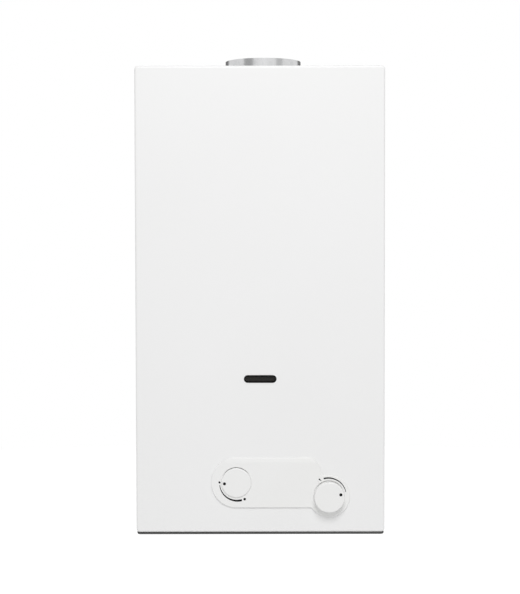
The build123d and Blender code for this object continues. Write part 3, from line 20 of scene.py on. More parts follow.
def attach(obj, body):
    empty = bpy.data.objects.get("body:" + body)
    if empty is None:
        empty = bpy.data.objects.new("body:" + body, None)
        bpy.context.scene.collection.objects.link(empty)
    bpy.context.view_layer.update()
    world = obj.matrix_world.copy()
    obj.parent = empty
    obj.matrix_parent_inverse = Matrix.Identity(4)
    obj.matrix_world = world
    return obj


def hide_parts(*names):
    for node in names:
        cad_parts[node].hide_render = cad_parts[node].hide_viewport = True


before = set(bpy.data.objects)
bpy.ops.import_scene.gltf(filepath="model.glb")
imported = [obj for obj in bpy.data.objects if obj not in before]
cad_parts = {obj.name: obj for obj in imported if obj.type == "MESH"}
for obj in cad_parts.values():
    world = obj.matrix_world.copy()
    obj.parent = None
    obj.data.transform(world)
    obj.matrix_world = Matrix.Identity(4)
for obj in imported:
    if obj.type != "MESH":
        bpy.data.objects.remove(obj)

LOG = logging.getLogger("water_heater")
WHITE = (1.0, 1.0, 1.0, 1.0)
UNSTRETCHED = (1.0, 1.0, 1.0)
UPRIGHT = Matrix.Identity(4).freeze()
HEX_SIDES = 6

Colour = tuple[float, float, float]
Pair = tuple[float, float]
Point = tuple[float, float, float]


class Body(Enum):
    """CAD bodies that the added pieces ride on."""

    CHASSIS = "chassis"
    COVER = "front_cover_set"
    GAS_CONTROL = "gas_control"
    WATER_CONTROL = "water_control"


class Facing(Enum):
    """Ways that a repeated part faces."""

    LEFT = (-1.0, 0.0, 0.0)
    RIGHT = (1.0, 0.0, 0.0)
    FRONT = (0.0, -1.0, 0.0)
    BACK = (0.0, 1.0, 0.0)
    DOWN = (0.0, 0.0, -1.0)
    UP = (0.0, 0.0, 1.0)


Seat = tuple[Point, Facing]


class Effect(Enum):
    """Shared surface effects, each made once as a shader node group."""

    GRAIN = "surface_grain"
    SPANGLE = "zinc_spangle"
    # Painted shade: darkening where nearby surfaces block the light, in corners and seams, laid in grime-like
    # patches.
    GRIME = "corner_grime"
    WEAR = "edge_wear"
    DUST = "settled_dust"
    HEAT = "heat_tint"


class Kind(Enum):
    """Types of the node groups' sockets."""

    FLOAT = "NodeSocketFloat"
    INTEGER = "NodeSocketInt"
    VECTOR = "NodeSocketVector"
    COLOUR = "NodeSocketColor"
    OBJECT = "NodeSocketObject"
    MATERIAL = "NodeSocketMaterial"
    GEOMETRY = "NodeSocketGeometry"


def floats(*names: str) -> dict[str, Kind]:
    """Give number sockets by name."""
    return dict.fromkeys(names, Kind.FLOAT)


def polar(angle: float, radius: float, centre: Pair = (0.0, 0.0)) -> Pair:
    """Give the place at an angle, in degrees anticlockwise, and a radius round a centre."""
    turn = math.radians(angle)
    return centre[0] + radius * math.cos(turn), centre[1] + radius * math.sin(turn)


def circle(radius: float, steps: int, centre: Pair = (0.0, 0.0)) -> list[Pair]:
    """Give the corners of a circle of so many steps."""
    return [polar(360.0 * step / steps, radius, centre) for step in range(steps)]


def put_in_scene(name: str, data: bpy.types.ID) -> Object:
    """Put data in the scene.

    Args:
        name: The new object's name.
        data: Its mesh, curve, lamp or camera.

    Returns:
        The object.
    """
    obj = bpy.data.objects.new(name, data)
    bpy.context.scene.collection.objects.link(obj)
    return obj


def applied(obj: Object) -> Mesh:
    """Give the plain mesh that an object's modifiers make."""
    evaluated = obj.evaluated_get(bpy.context.evaluated_depsgraph_get())
    return bpy.data.meshes.new_from_object(evaluated)


class Graph:
    """A node tree under construction, with short calls that add and join nodes.

    Attributes:
        tree: The node tree.
        given: The tree's own input sockets by name, where it is a group.
    """

    # The Mix node's colour sockets go by index, since its other types share their names.
    MIXED_COLOURS = (6, 7)
    MIX_RESULT = 2

    def __init__(self, tree: NodeTree) -> None:
        """Start on a shader or geometry node tree."""
        self.tree = tree
        self.given: Mapping[str, NodeSocket] = {}

    @classmethod
    def cleared(cls, owner: Material | World) -> "Graph":
        """Start on an emptied node tree.

        Args:
            owner: The material or the world that has the tree.

        Returns:
            The tree's graph.
        """
        owner.use_nodes = True
        owner.node_tree.nodes.clear()
        return cls(owner.node_tree)

    @classmethod
    def group(
        cls, name: str, inputs: Mapping[str, Kind], outputs: Mapping[str, Kind], kind: str = "ShaderNodeTree"
    ) -> "Graph":
        """Start a node group.

        Args:
            name: The group's name.
            inputs: Socket types by input name.
            outputs: Socket types by output name.
            kind: Blender's name for the tree type.

        Returns:
            The group's graph.
        """
        graph = cls(bpy.data.node_groups.new(name, kind))
        for way, sockets in (("INPUT", inputs), ("OUTPUT", outputs)):
            for label, socket in sockets.items():
                graph.tree.interface.new_socket(label, in_out=way, socket_type=socket.value)
        graph.given = graph.add("NodeGroupInput").outputs
        return graph

    def feed(self, socket: NodeSocket, value: object) -> None:
        """Join a socket to another, or set its value.

        Args:
            socket: The input socket to feed.
            value: A socket to link from, or a plain value.
        """
        if isinstance(value, NodeSocket):
            self.tree.links.new(value, socket)
        else:
            socket.default_value = value

    def add(self, kind: str, inputs: Mapping[str | int, object] | None = None, **settings: object) -> Node:
        """Add a node.

        Args:
            kind: Blender's name for the node type.
            inputs: Values or sockets by input name or index.
            **settings: Node properties that are set before the inputs.

        Returns:
            The new node.
        """
        node = self.tree.nodes.new(kind)
        for name, value in settings.items():
            setattr(node, name, value)
        for key, value in (inputs or {}).items():
            self.feed(node.inputs[key], value)
        return node

    def calc(self, operation: str, first: object, second: object = 0.0) -> NodeSocket:
        """Add a Math node of an operation and give its result."""
        return self.add("ShaderNodeMath", {0: first, 1: second}, operation=operation).outputs[0]

    def times(self, product: NodeSocket, *factors: object) -> NodeSocket:
        """Multiply values one after another.

        Args:
            product: The first value's socket.
            *factors: Sockets or numbers.

        Returns:
            The product's socket.
        """
        for factor in factors:
            product = self.calc("MULTIPLY", product, factor)
        return product

    def span(
        self, value: NodeSocket, source: Sequence[object], target: Sequence[object] = (0.0, 1.0)
    ) -> NodeSocket:
        """Map a value from one range to another, clamped.

        Args:
            value: The socket to map.
            source: The lowest and highest value that come in.
            target: The values that they become.

        Returns:
            The mapped socket.
        """
        inputs = dict(enumerate((value, *source, *target)))
        return self.add("ShaderNodeMapRange", inputs).outputs[0]

    def blend(self, share: object, first: object, second: object) -> NodeSocket:
        """Mix two colours.

        Args:
            share: How much of the second colour shows, from 0 to 1.
            first: A colour or socket.
            second: A colour or socket.

        Returns:
            The mixed colour's socket.
        """
        node = self.add("ShaderNodeMix", {0: share}, data_type="RGBA")
        for index, value in zip(self.MIXED_COLOURS, (first, second)):
            self.feed(node.inputs[index], value if isinstance(value, NodeSocket) else (*value, 1.0))
        return node.outputs[self.MIX_RESULT]

    def place(self) -> NodeSocket:
        """Give the place on the piece in Object coordinates."""
        return self.add("ShaderNodeTexCoord").outputs["Object"]

    def noise(self, place: NodeSocket, scale: object, detail: float) -> NodeSocket:
        """Add noise at a place, of a scale and a detail."""
        inputs = {"Vector": place, "Scale": scale, "Detail": detail}
        return self.add("ShaderNodeTexNoise", inputs).outputs[0]


@dataclass(frozen=True)
class Patches:
    """Uneven patches that break up an effect.

    Attributes:
        scale: The scale of their noise.
        detail: The detail of their noise.
        source: The range of the noise that is spread out.
        target: The range that it becomes.
    """

    scale: float
    detail: float
    source: Pair
    target: Pair = (0.0, 1.0)

    def lay(self, graph: Graph, place: NodeSocket) -> NodeSocket:
        """Add the patches to a graph, at a place."""
        noise = graph.noise(place, self.scale, self.detail)
        return graph.span(noise, self.source, self.target)


class EffectGroups:
    """The shader node groups of the shared effects, and how a material places them."""

    GRAIN_DETAIL = 4.0
    GRAIN_FINE_DETAIL = 2.0
    GRAIN_RANGE = (0.32, 0.68)
    SPANGLE_FINE_DETAIL = 3.0
    SPANGLE_RANGE = (0.22, 0.78)
    CORNER_SAMPLES = 8
    CORNER_RANGE = (0.75, 0.25)
    EDGE_SAMPLES = 4
    EDGE_RANGE = (0.995, 0.9)
    UPWARD_RANGE = (0.55, 0.98)
    SHADE_AND_GRIME_PATCHES = Patches(45.0, 3.0, (0.3, 0.6), (0.45, 1.0))
    WEAR_PATCHES = Patches(70.0, 4.0, (0.4, 0.6))
    DUST_PATCHES = Patches(18.0, 5.0, (0.35, 0.7))
    HEAT_PATCHES = Patches(22.0, 4.0, (0.3, 0.65), (0.55, 1.0))
    TEMPER_COLOURS = (
        (0.0, (0.52, 0.33, 0.16)),
        (0.35, (0.32, 0.12, 0.10)),
        (0.6, (0.13, 0.10, 0.22)),
        (0.85, (0.10, 0.14, 0.22)),
        (1.0, (0.12, 0.11, 0.10)),
    )

    def __init__(self) -> None:
        """Build every group once."""
        makers = {
            Effect.GRAIN: self._grain,
            Effect.SPANGLE: self._spangle,
            Effect.GRIME: self._grime,
            Effect.WEAR: self._wear,
            Effect.DUST: self._dust,
            Effect.HEAT: self._heat,
        }
        self.trees = {effect: make(effect.value) for effect, make in makers.items()}

    def place(self, graph: Graph, effect: Effect, values: Mapping[str, object]) -> Mapping[str, NodeSocket]:
        """Place an effect in a material, and give its output sockets by name."""
        return graph.add("ShaderNodeGroup", values, node_tree=self.trees[effect]).outputs

    @staticmethod
    def _pattern(name: str) -> tuple[Graph, NodeSocket]:
        """Start a pattern's group.

        Args:
            name: The group's name.

        Returns:
            The group's graph, and the place drawn out by the group's stretch.
        """
        sockets = {**floats("Scale", "Fine Scale"), "Stretch": Kind.VECTOR}
        graph = Graph.group(name, sockets, floats("Mask", "Height"))
        inputs = {"Vector": graph.place(), "Scale": graph.given["Stretch"]}
        return graph, graph.add("ShaderNodeMapping", inputs).outputs[0]

    @staticmethod
    def _end(graph: Graph, outputs: Mapping[str, object]) -> NodeTree:
        """End a group with its outputs by name, and give its tree."""
        graph.add("NodeGroupOutput", outputs)
        return graph.tree

    def _broken(self, graph: Graph, mask: NodeSocket, patches: Patches) -> NodeTree:
        """End a group with a mask in patches, as strong as the group's input says, and give its tree."""
        broken = graph.times(mask, patches.lay(graph, graph.place()), graph.given["Strength"])
        return self._end(graph, {"Mask": broken})

    def _grain(self, name: str) -> NodeTree:
        """Build broad mottling with fine relief on it.

        Args:
            name: The group's name.

        Returns:
            The group's tree.
        """
        graph, drawn = self._pattern(name)
        broad = graph.noise(drawn, graph.given["Scale"], self.GRAIN_DETAIL)
        fine = graph.noise(drawn, graph.given["Fine Scale"], self.GRAIN_FINE_DETAIL)
        return self._end(graph, {"Mask": graph.span(broad, self.GRAIN_RANGE), "Height": fine})

    def _spangle(self, name: str) -> NodeTree:
        """Build the leaf-like crystals of hot-dip zinc.

        Args:
            name: The group's name.

        Returns:
            The group's tree.
        """
        graph, drawn = self._pattern(name)
        crystals = graph.add("ShaderNodeTexVoronoi", {"Vector": drawn, "Scale": graph.given["Scale"]})
        tone = graph.add("ShaderNodeSeparateColor", {0: crystals.outputs["Color"]}).outputs[0]
        fine = graph.noise(drawn, graph.given["Fine Scale"], self.SPANGLE_FINE_DETAIL)
        soft = graph.times(graph.calc("ADD", tone, fine), 0.5)
        return self._end(graph, {"Mask": graph.span(soft, self.SPANGLE_RANGE), "Height": fine})

    def _grime(self, name: str) -> NodeTree:
        """Build painted shade with grime in corners and seams, where nearby surfaces block the light.

        Args:
            name: The group's name.

        Returns:
            The group's tree.
        """
        graph = Graph.group(name, floats("Reach", "Strength"), floats("Mask"))
        inputs = {"Distance": graph.given["Reach"]}
        # Painted shade: ambient occlusion darkens the colour where nearby surfaces block the light.
        nearby = graph.add("ShaderNodeAmbientOcclusion", inputs, samples=self.CORNER_SAMPLES)
        closed = graph.span(nearby.outputs["AO"], self.CORNER_RANGE)
        return self._broken(graph, closed, self.SHADE_AND_GRIME_PATCHES)

    def _wear(self, name: str) -> NodeTree:
        """Build the rubbed line along sharp edges.

        Args:
            name: The group's name.

        Returns:
            The group's tree.
        """
        graph = Graph.group(name, floats("Width", "Strength"), floats("Mask"))
        inputs = {"Radius": graph.given["Width"]}
        rounded = graph.add("ShaderNodeBevel", inputs, samples=self.EDGE_SAMPLES).outputs[0]
        flat = graph.add("ShaderNodeNewGeometry").outputs["Normal"]
        turn = graph.add("ShaderNodeVectorMath", {0: rounded, 1: flat}, operation="DOT_PRODUCT")
        edge = graph.span(turn.outputs["Value"], self.EDGE_RANGE)
        return self._broken(graph, edge, self.WEAR_PATCHES)

    def _dust(self, name: str) -> NodeTree:
        """Build the dust that settles on what faces up.

        Args:
            name: The group's name.

        Returns:
            The group's tree.
        """
        graph = Graph.group(name, floats("Strength"), floats("Mask"))
        facing = graph.add("ShaderNodeNewGeometry").outputs["Normal"]
        upward = graph.add("ShaderNodeSeparateXYZ", {0: facing}).outputs["Z"]
        return self._broken(graph, graph.span(upward, self.UPWARD_RANGE), self.DUST_PATCHES)

    def _heat(self, name: str) -> NodeTree:
        """Build the temper colours of metal near a flame, which fade between two heights.

        Args:
            name: The group's name.

        Returns:
            The group's tree.
        """
        outputs = {**floats("Mask"), "Colour": Kind.COLOUR}
        graph = Graph.group(name, floats("Hot Height", "Cool Height"), outputs)
        place = graph.place()
        height = graph.add("ShaderNodeSeparateXYZ", {0: place}).outputs["Z"]
        warmth = graph.span(height, (graph.given["Cool Height"], graph.given["Hot Height"]))
        uneven = graph.times(warmth, self.HEAT_PATCHES.lay(graph, place))
        ramp = graph.add("ShaderNodeValToRGB", {0: uneven})
        stops = ramp.color_ramp.elements
        for position, _ in self.TEMPER_COLOURS[1:-1]:
            stops.new(position)
        for stop, (_, colour) in zip(stops, self.TEMPER_COLOURS):
            stop.color = (*colour, 1.0)
        return self._end(graph, {"Mask": uneven, "Colour": ramp.outputs[0]})


class Surface:
    """A material under construction.

    Attributes:
        colour: The colour that its effects give so far.
        roughness: The roughness that they give so far.
    """

    colour: NodeSocket
    roughness: NodeSocket

    def __init__(self, finish: "Finish", effects: EffectGroups) -> None:
        """Start a material.

        Args:
            finish: The finish that it gets.
            effects: The shared effects.
        """
        self.finish = finish
        self.effects = effects
        self.material = bpy.data.materials.new(finish.name)
        self.graph = Graph.cleared(self.material)
        self.shader = self.graph.add("ShaderNodeBsdfPrincipled")
        self.graph.add("ShaderNodeOutputMaterial", {"Surface": self.shader.outputs[0]})

    def feed(self, inputs: Mapping[str, object]) -> None:
        """Set or join the shader's inputs by name."""
        for name, value in inputs.items():
            self.graph.feed(self.shader.inputs[name], value)

    def mottle(self, effect: Effect, scale: float, fine: float, stretch: Point = UNSTRETCHED) -> NodeSocket:
        """Set out the finish's two colours and roughnesses in patches.

        Args:
            effect: The effect that makes the patches.
            scale: The patches' scale.
            fine: The scale of the fine relief.
            stretch: How both are drawn out along the axes.

        Returns:
            The height of the fine relief.
        """
        values = {"Scale": scale, "Fine Scale": fine, "Stretch": stretch}
        pattern = self.effects.place(self.graph, effect, values)
        mask, finish = pattern["Mask"], self.finish
        self.colour = self.graph.blend(mask, finish.light, finish.dark)
        self.roughness = self.graph.span(mask, (0.0, 1.0), (finish.smooth, finish.rough))
        return pattern["Height"]

    def overlay(
        self, effect: Effect, values: Mapping[str, object], colour: Colour | None = None
    ) -> NodeSocket:
        """Lay an effect over the colour.

        Args:
            effect: The effect.
            values: Values by its input names.
            colour: Its colour, if it doesn't bring its own.

        Returns:
            The effect's mask.
        """
        placed = self.effects.place(self.graph, effect, values)
        top = placed["Colour"] if colour is None else colour
        self.colour = self.graph.blend(placed["Mask"], self.colour, top)
        return placed["Mask"]

    def close(self) -> None:
        """Join the colour and the roughness to the shader."""
        self.feed({"Base Color": self.colour, "Roughness": self.roughness})

    def emboss(self, height: NodeSocket, relief: float) -> None:
        """Raise the surface by a height from 0 to 1 times a relief in metres."""
        bump = self.graph.add("ShaderNodeBump", {"Distance": relief, "Height": height})
        self.feed({"Normal": bump.outputs[0]})


@dataclass(frozen=True)
class Finish(ABC):
    """A named surface that makes its own material.

    Attributes:
        name: The material's name.
        light: The main colour.
        dark: The colour of its darker patches.
        smooth: The roughness of the main colour.
        rough: The roughness of the darker patches.
    """

    name: str
    light: Colour
    dark: Colour
    smooth: float
    rough: float

    @abstractmethod
    def shade(self, surface: Surface) -> None:
        """Lay the finish on a material under construction."""

    def material(self, effects: EffectGroups) -> Material:
        """Make the finish's material.

        Args:
            effects: The shared effects.

        Returns:
            The new material.
        """
        surface = Surface(self, effects)
        self.shade(surface)
        return surface.material

    def shade_and_grime_colour(self, share: float) -> Colour:
        """Give the colour of the painted corner shade with grime, a share of the darker patches' colour."""
        return tuple(part * share for part in self.dark)


@dataclass(frozen=True)
class HeatBand:
    """Where a metal has taken temper colours, from its hot height to its cool height."""

    hot: float
    cool: float


@dataclass(frozen=True)
class MetalFinish(Finish):
    """A bare metal.

    Attributes:
        pattern: The effect that mottles it.
        scale: The pattern's broad scale.
        fine: The pattern's fine scale.
        stretch: How the pattern is drawn out along the axes.
        relief: The height of the fine scale, in metres.
        grime: How dark its corners and seams are painted, as shade with grime.
        wear: How bright its edges are.
        dust: How much dust lies on it.
        heat: Where it has taken temper colours.
    """

    pattern: Effect = Effect.GRAIN
    scale: float = 60.0
    fine: float = 900.0
    stretch: Point = UNSTRETCHED
    relief: float = 0.00002
    grime: float = 0.4
    wear: float = 0.0
    dust: float = 0.0
    heat: HeatBand | None = None

    SHADE_AND_GRIME_REACH: ClassVar[float] = 0.008
    SHADE_AND_GRIME_SHARE: ClassVar[float] = 0.3
    WORN_WIDTH: ClassVar[float] = 0.0012
    WORN_SHARE: ClassVar[float] = 1.15
    DUST_COLOUR: ClassVar[Colour] = (0.52, 0.5, 0.47)
    DUST_ROUGHNESS: ClassVar[float] = 0.5

    def shade(self, surface: Surface) -> None:
        """Lay pattern, heat, wear, painted corner shade with grime, and dust on a metallic shader.

        Args:
            surface: The material under construction.
        """
        surface.feed({"Metallic": 1.0})
        height = surface.mottle(self.pattern, self.scale, self.fine, self.stretch)
        if self.heat:
            surface.overlay(Effect.HEAT, {"Hot Height": self.heat.hot, "Cool Height": self.heat.cool})
        if self.wear:
            bright = tuple(min(1.0, part * self.WORN_SHARE) for part in self.light)
            surface.overlay(Effect.WEAR, {"Width": self.WORN_WIDTH, "Strength": self.wear}, bright)
        # Painted shade: corners and seams are darkened where nearby surfaces block the light, in grime-like
        # patches.
        values = {"Reach": self.SHADE_AND_GRIME_REACH, "Strength": self.grime}
        surface.overlay(Effect.GRIME, values, self.shade_and_grime_colour(self.SHADE_AND_GRIME_SHARE))
        if self.dust:
            graph = surface.graph
            settled = surface.overlay(Effect.DUST, {"Strength": self.dust}, self.DUST_COLOUR)
            dulled = graph.calc("ADD", surface.roughness, graph.times(settled, self.DUST_ROUGHNESS))
            surface.roughness = graph.calc("MINIMUM", dulled, 1.0)
            surface.feed({"Metallic": graph.calc("SUBTRACT", 1.0, settled)})
        surface.close()
        surface.emboss(height, self.relief)


@dataclass(frozen=True)
class CoatedFinish(Finish):
    """Enamel, plastic, rubber, ceramic or ink.

    Attributes:
        scale: The scale of its mottling.
        fine: The scale of its fine relief.
        relief: The height of the fine relief, in metres.
        grime: How dark its corners and seams are painted, as shade with grime.
        dust: How much dust lies on it.
        coat: The weight of its clear coat.
        gloss: How strongly its surface mirrors, 0.5 for plain plastic.
    """

    scale: float = 6.0
    fine: float = 700.0
    relief: float = 0.00001
    grime: float = 0.2
    dust: float = 0.0
    coat: float = 0.0
    gloss: float = 0.5

    SHADE_AND_GRIME_REACH: ClassVar[float] = 0.006
    SHADE_AND_GRIME_SHARE: ClassVar[float] = 0.4
    COAT_ROUGHNESS: ClassVar[float] = 0.12
    DUST_COLOUR: ClassVar[Colour] = (0.6, 0.58, 0.55)

    def shade(self, surface: Surface) -> None:
        """Lay mottling, painted corner shade with grime, and dust on a plain shader.

        Args:
            surface: The material under construction.
        """
        surface.feed({"Specular IOR Level": self.gloss, "Coat Weight": self.coat})
        surface.feed({"Coat Roughness": self.COAT_ROUGHNESS})
        height = surface.mottle(Effect.GRAIN, self.scale, self.fine)
        # Painted shade: corners and seams are darkened where nearby surfaces block the light, in grime-like
        # patches.
        values = {"Reach": self.SHADE_AND_GRIME_REACH, "Strength": self.grime}
        surface.overlay(Effect.GRIME, values, self.shade_and_grime_colour(self.SHADE_AND_GRIME_SHARE))
        if self.dust:
            surface.overlay(Effect.DUST, {"Strength": self.dust}, self.DUST_COLOUR)
        surface.close()
        surface.emboss(height, self.relief)


@dataclass(frozen=True)
class PaneFinish(Finish):
    """Glass, mica or clear silicone.

    Attributes:
        through: How much light goes through it.
        index: Its index of refraction.
    """

    through: float = 1.0
    index: float = 1.5

    SMEAR_SCALE: ClassVar[float] = 40.0
    FINE_SCALE: ClassVar[float] = 320.0

    def shade(self, surface: Surface) -> None:
        """Lay smears on a shader that lets light through.

        Args:
            surface: The material under construction.
        """
        surface.feed({"Transmission Weight": self.through, "IOR": self.index})
        surface.mottle(Effect.GRAIN, self.SMEAR_SCALE, self.FINE_SCALE)
        surface.close()


WHITE_ENAMEL = CoatedFinish(
    "white_enamel", (0.88, 0.88, 0.88), (0.865, 0.865, 0.863), 0.3, 0.36,
    scale=4.0, fine=420.0, relief=0.000012, grime=0.12, dust=0.12,
)
WHITE_PLASTIC = CoatedFinish(
    "white_plastic", (0.87, 0.87, 0.865), (0.855, 0.855, 0.845), 0.34, 0.42,
    scale=9.0, fine=1600.0, relief=0.000008, grime=0.1,
)
BLACK_PLASTIC = CoatedFinish(
    "black_plastic", (0.012, 0.012, 0.012), (0.02, 0.02, 0.02), 0.35, 0.5, scale=30.0, fine=1500.0
)
GREY_PLASTIC = CoatedFinish(
    "grey_plastic", (0.36, 0.37, 0.38), (0.32, 0.33, 0.34), 0.42, 0.55,
    scale=14.0, fine=1400.0, relief=0.00002, grime=0.4, dust=0.3,
)
MATT_BLACK = CoatedFinish(
    "matt_black_plastic", (0.002, 0.002, 0.002), (0.0035, 0.0035, 0.0035), 0.5, 0.62,
    scale=40.0, fine=1500.0, relief=0.000015, grime=0.0, gloss=0.02,
)
PRINTING_INK = CoatedFinish(
    "printing_ink", (0.006, 0.006, 0.007), (0.011, 0.011, 0.012), 0.4, 0.55,
    scale=120.0, grime=0.0, gloss=0.15,
)
GLAZED_CERAMIC = CoatedFinish(
    "glazed_ceramic", (0.86, 0.84, 0.79), (0.74, 0.71, 0.64), 0.18, 0.3, scale=50.0, coat=0.6, grime=0.5
)
BLACK_RUBBER = CoatedFinish(
    "black_rubber", (0.016, 0.016, 0.016), (0.03, 0.03, 0.03), 0.6, 0.8, scale=40.0, relief=0.00003
)
RED_SILICONE = CoatedFinish(
    "red_silicone", (0.52, 0.06, 0.035), (0.4, 0.045, 0.03), 0.45, 0.6, scale=30.0, grime=0.3
)
GREY_INSULATION = CoatedFinish(
    "grey_insulation", (0.3, 0.3, 0.31), (0.23, 0.23, 0.24), 0.45, 0.6, scale=30.0, grime=0.3
)
# Painted shade: the tray steel is near black so that its edge under the cover shows as the shadow line along
# the casing's bottom.
TRAY_SHADE_STEEL = CoatedFinish(
    "dark_painted_steel", (0.05, 0.05, 0.05), (0.065, 0.065, 0.063), 0.45, 0.6,
    scale=25.0, fine=800.0, relief=0.00002, dust=0.15,
)
SMOKED_GLASS = PaneFinish(
    "smoked_glass", (0.10, 0.095, 0.09), (0.07, 0.066, 0.062), 0.06, 0.16, through=0.7, index=1.22
)
MICA_SHEET = PaneFinish("mica_sheet", (0.78, 0.68, 0.5), (0.6, 0.48, 0.32), 0.12, 0.3, index=1.58)
CLEAR_SILICONE = PaneFinish(
    "clear_silicone", (0.88, 0.87, 0.84), (0.8, 0.79, 0.75), 0.2, 0.35, through=0.75, index=1.41
)
GALVANISED_STEEL = MetalFinish(
    "galvanised_steel", (0.62, 0.63, 0.64), (0.5, 0.51, 0.525), 0.3, 0.42,
    pattern=Effect.SPANGLE, scale=130.0, fine=600.0, relief=0.00001, dust=0.1,
)
COLLAR_STEEL = MetalFinish(
    "bright_galvanised_steel", (0.67, 0.673, 0.678), (0.6, 0.604, 0.612), 0.17, 0.24,
    pattern=Effect.SPANGLE, scale=160.0, fine=500.0, relief=0.000008, grime=0.3,
)
ZINC_PLATE = MetalFinish(
    "zinc_plated_steel", (0.66, 0.66, 0.64), (0.54, 0.54, 0.52), 0.26, 0.4, scale=160.0, wear=0.4
)
MOTOR_STEEL = MetalFinish(
    "stacked_motor_steel", (0.46, 0.46, 0.47), (0.3, 0.3, 0.31), 0.35, 0.5,
    scale=30.0, fine=60.0, stretch=(1.0, 30.0, 1.0), relief=0.00012, wear=0.3,
)
BURNER_STEEL = MetalFinish(
    "burner_steel", (0.52, 0.51, 0.49), (0.4, 0.39, 0.37), 0.34, 0.5,
    scale=40.0, stretch=(1.0, 0.2, 1.0), heat=HeatBand(0.192, 0.15),
)
DRAWN_COPPER = MetalFinish(
    "drawn_copper", (0.86, 0.47, 0.31), (0.68, 0.33, 0.2), 0.24, 0.42,
    scale=22.0, fine=500.0, stretch=(1.0, 1.0, 0.35), grime=0.6, heat=HeatBand(0.185, 0.3),
)
TURNED_BRASS = MetalFinish(
    "turned_brass", (0.78, 0.58, 0.27), (0.64, 0.45, 0.19), 0.24, 0.38, scale=55.0, wear=0.5, grime=0.6
)
CAST_ALUMINIUM = MetalFinish(
    "cast_aluminium", (0.62, 0.625, 0.63), (0.5, 0.505, 0.51), 0.42, 0.58,
    scale=70.0, fine=500.0, relief=0.00012, wear=0.4, grime=0.6,
)


class Palette:
    """The shared effects and the materials made from them, one for each finish."""

    def __init__(self) -> None:
        """Start with the effects and no material."""
        self.effects = EffectGroups()
        self.made: dict[str, Material] = {}

    def paint(self, finish: Finish) -> Material:
        """Give a finish's material.

        Args:
            finish: The finish.

        Returns:
            Its material, made on first use.
        """
        if finish.name not in self.made:
            self.made[finish.name] = finish.material(self.effects)
        return self.made[finish.name]


class NodeTool:
    """A Geometry Nodes tree with named inputs, and the run of it that leaves a plain mesh."""

    def __init__(self, name: str, inputs: Mapping[str, Kind]) -> None:
        """Start a tree.

        Args:
            name: The tree's name.
            inputs: Socket types by input name, besides the geometry and the finish.
        """
        geometry = {"Geometry": Kind.GEOMETRY}
        sockets = {**geometry, **inputs, "Finish": Kind.MATERIAL}
        self.graph = Graph.group(name, sockets, geometry, "GeometryNodeTree")

    def close(self, geometry: NodeSocket) -> None:
        """End the tree in real, painted geometry.

        Args:
            geometry: The socket that brings the geometry.
        """
        real = self.graph.add("GeometryNodeRealizeInstances", {"Geometry": geometry}).outputs[0]
        inputs = {"Geometry": real, "Material": self.graph.given["Finish"]}
        painted = self.graph.add("GeometryNodeSetMaterial", inputs).outputs[0]
        self.graph.add("NodeGroupOutput", {"Geometry": painted})

    def run(self, blank: Mesh, values: Mapping[str, object]) -> Mesh:
        """Run the tree on a mesh.

        Args:
            blank: The mesh that goes in.
            values: Values by input name.

        Returns:
            The plain mesh that comes out.
        """
        tree = self.graph.tree
        carrier = bpy.data.objects.new(blank.name, blank)
        modifier = carrier.modifiers.new(tree.name, "NODES")
        modifier.node_group = tree
        for item in tree.interface.items_tree:
            if item.in_out == "INPUT" and item.name in values:
                modifier[item.identifier] = values[item.name]
        bpy.context.scene.collection.objects.link(carrier)
        mesh = applied(carrier)
        carrier.modifiers.remove(modifier)
        bpy.data.objects.remove(carrier)
        return mesh


class SeatRepeater(NodeTool):
    """Sets one part on every seat, turned to the seat's facing and by a random twist."""

    # The Random Value node's number sockets go by index, since its other types share their names.
    LOWEST = 2
    HIGHEST = 3
    DRAWN = 1

    def __init__(self) -> None:
        """Build the tree."""
        inputs = {"Part": Kind.OBJECT, "Turn Spread": Kind.FLOAT, "Seed": Kind.INTEGER}
        super().__init__("part_on_seats", inputs)
        graph, given = self.graph, self.graph.given
        facing = graph.add("GeometryNodeInputNamedAttribute", {"Name": "facing"}, data_type="FLOAT_VECTOR")
        inputs = {"Vector": facing.outputs["Attribute"]}
        upright = graph.add("FunctionNodeAlignRotationToVector", inputs, axis="Z").outputs[0]
        inputs = {self.LOWEST: 0.0, self.HIGHEST: given["Turn Spread"], "Seed": given["Seed"]}
        twist = graph.add("FunctionNodeRandomValue", inputs, data_type="FLOAT").outputs[self.DRAWN]
        inputs = {"Axis": Facing.UP.value, "Angle": twist}
        about = graph.add("FunctionNodeAxisAngleToRotation", inputs).outputs[0]
        inputs = {"Rotation": upright, "Rotate By": about}
        turned = graph.add("FunctionNodeRotateRotation", inputs, rotation_space="LOCAL").outputs[0]
        part = graph.add("GeometryNodeObjectInfo", {"Object": given["Part"]}).outputs["Geometry"]
        inputs = {"Points": given["Geometry"], "Instance": part, "Rotation": turned}
        self.close(graph.add("GeometryNodeInstanceOnPoints", inputs).outputs[0])

    def set_out(
        self, part: Mesh, seats: Sequence[Seat], material: Material, spread: float = 0.0, seed: int = 0
    ) -> Mesh:
        """Set a part on seats.

        Args:
            part: The part, whose own Z points along a seat's facing.
            seats: The place and facing of every seat.
            material: The part's material.
            spread: The largest random twist, in radians.
            seed: The seed of the twists.

        Returns:
            One mesh of all the parts.
        """
        mesh = bpy.data.meshes.new("seats")
        mesh.from_pydata([place for place, _ in seats], [], [])
        facing = mesh.attributes.new("facing", "FLOAT_VECTOR", "POINT")
        facing.data.foreach_set("vector", [number for _, way in seats for number in way.value])
        pattern = bpy.data.objects.new("pattern_part", part)
        values = {"Part": pattern, "Turn Spread": spread, "Seed": seed, "Finish": material}
        result = self.run(mesh, values)
        bpy.data.objects.remove(pattern)
        return result


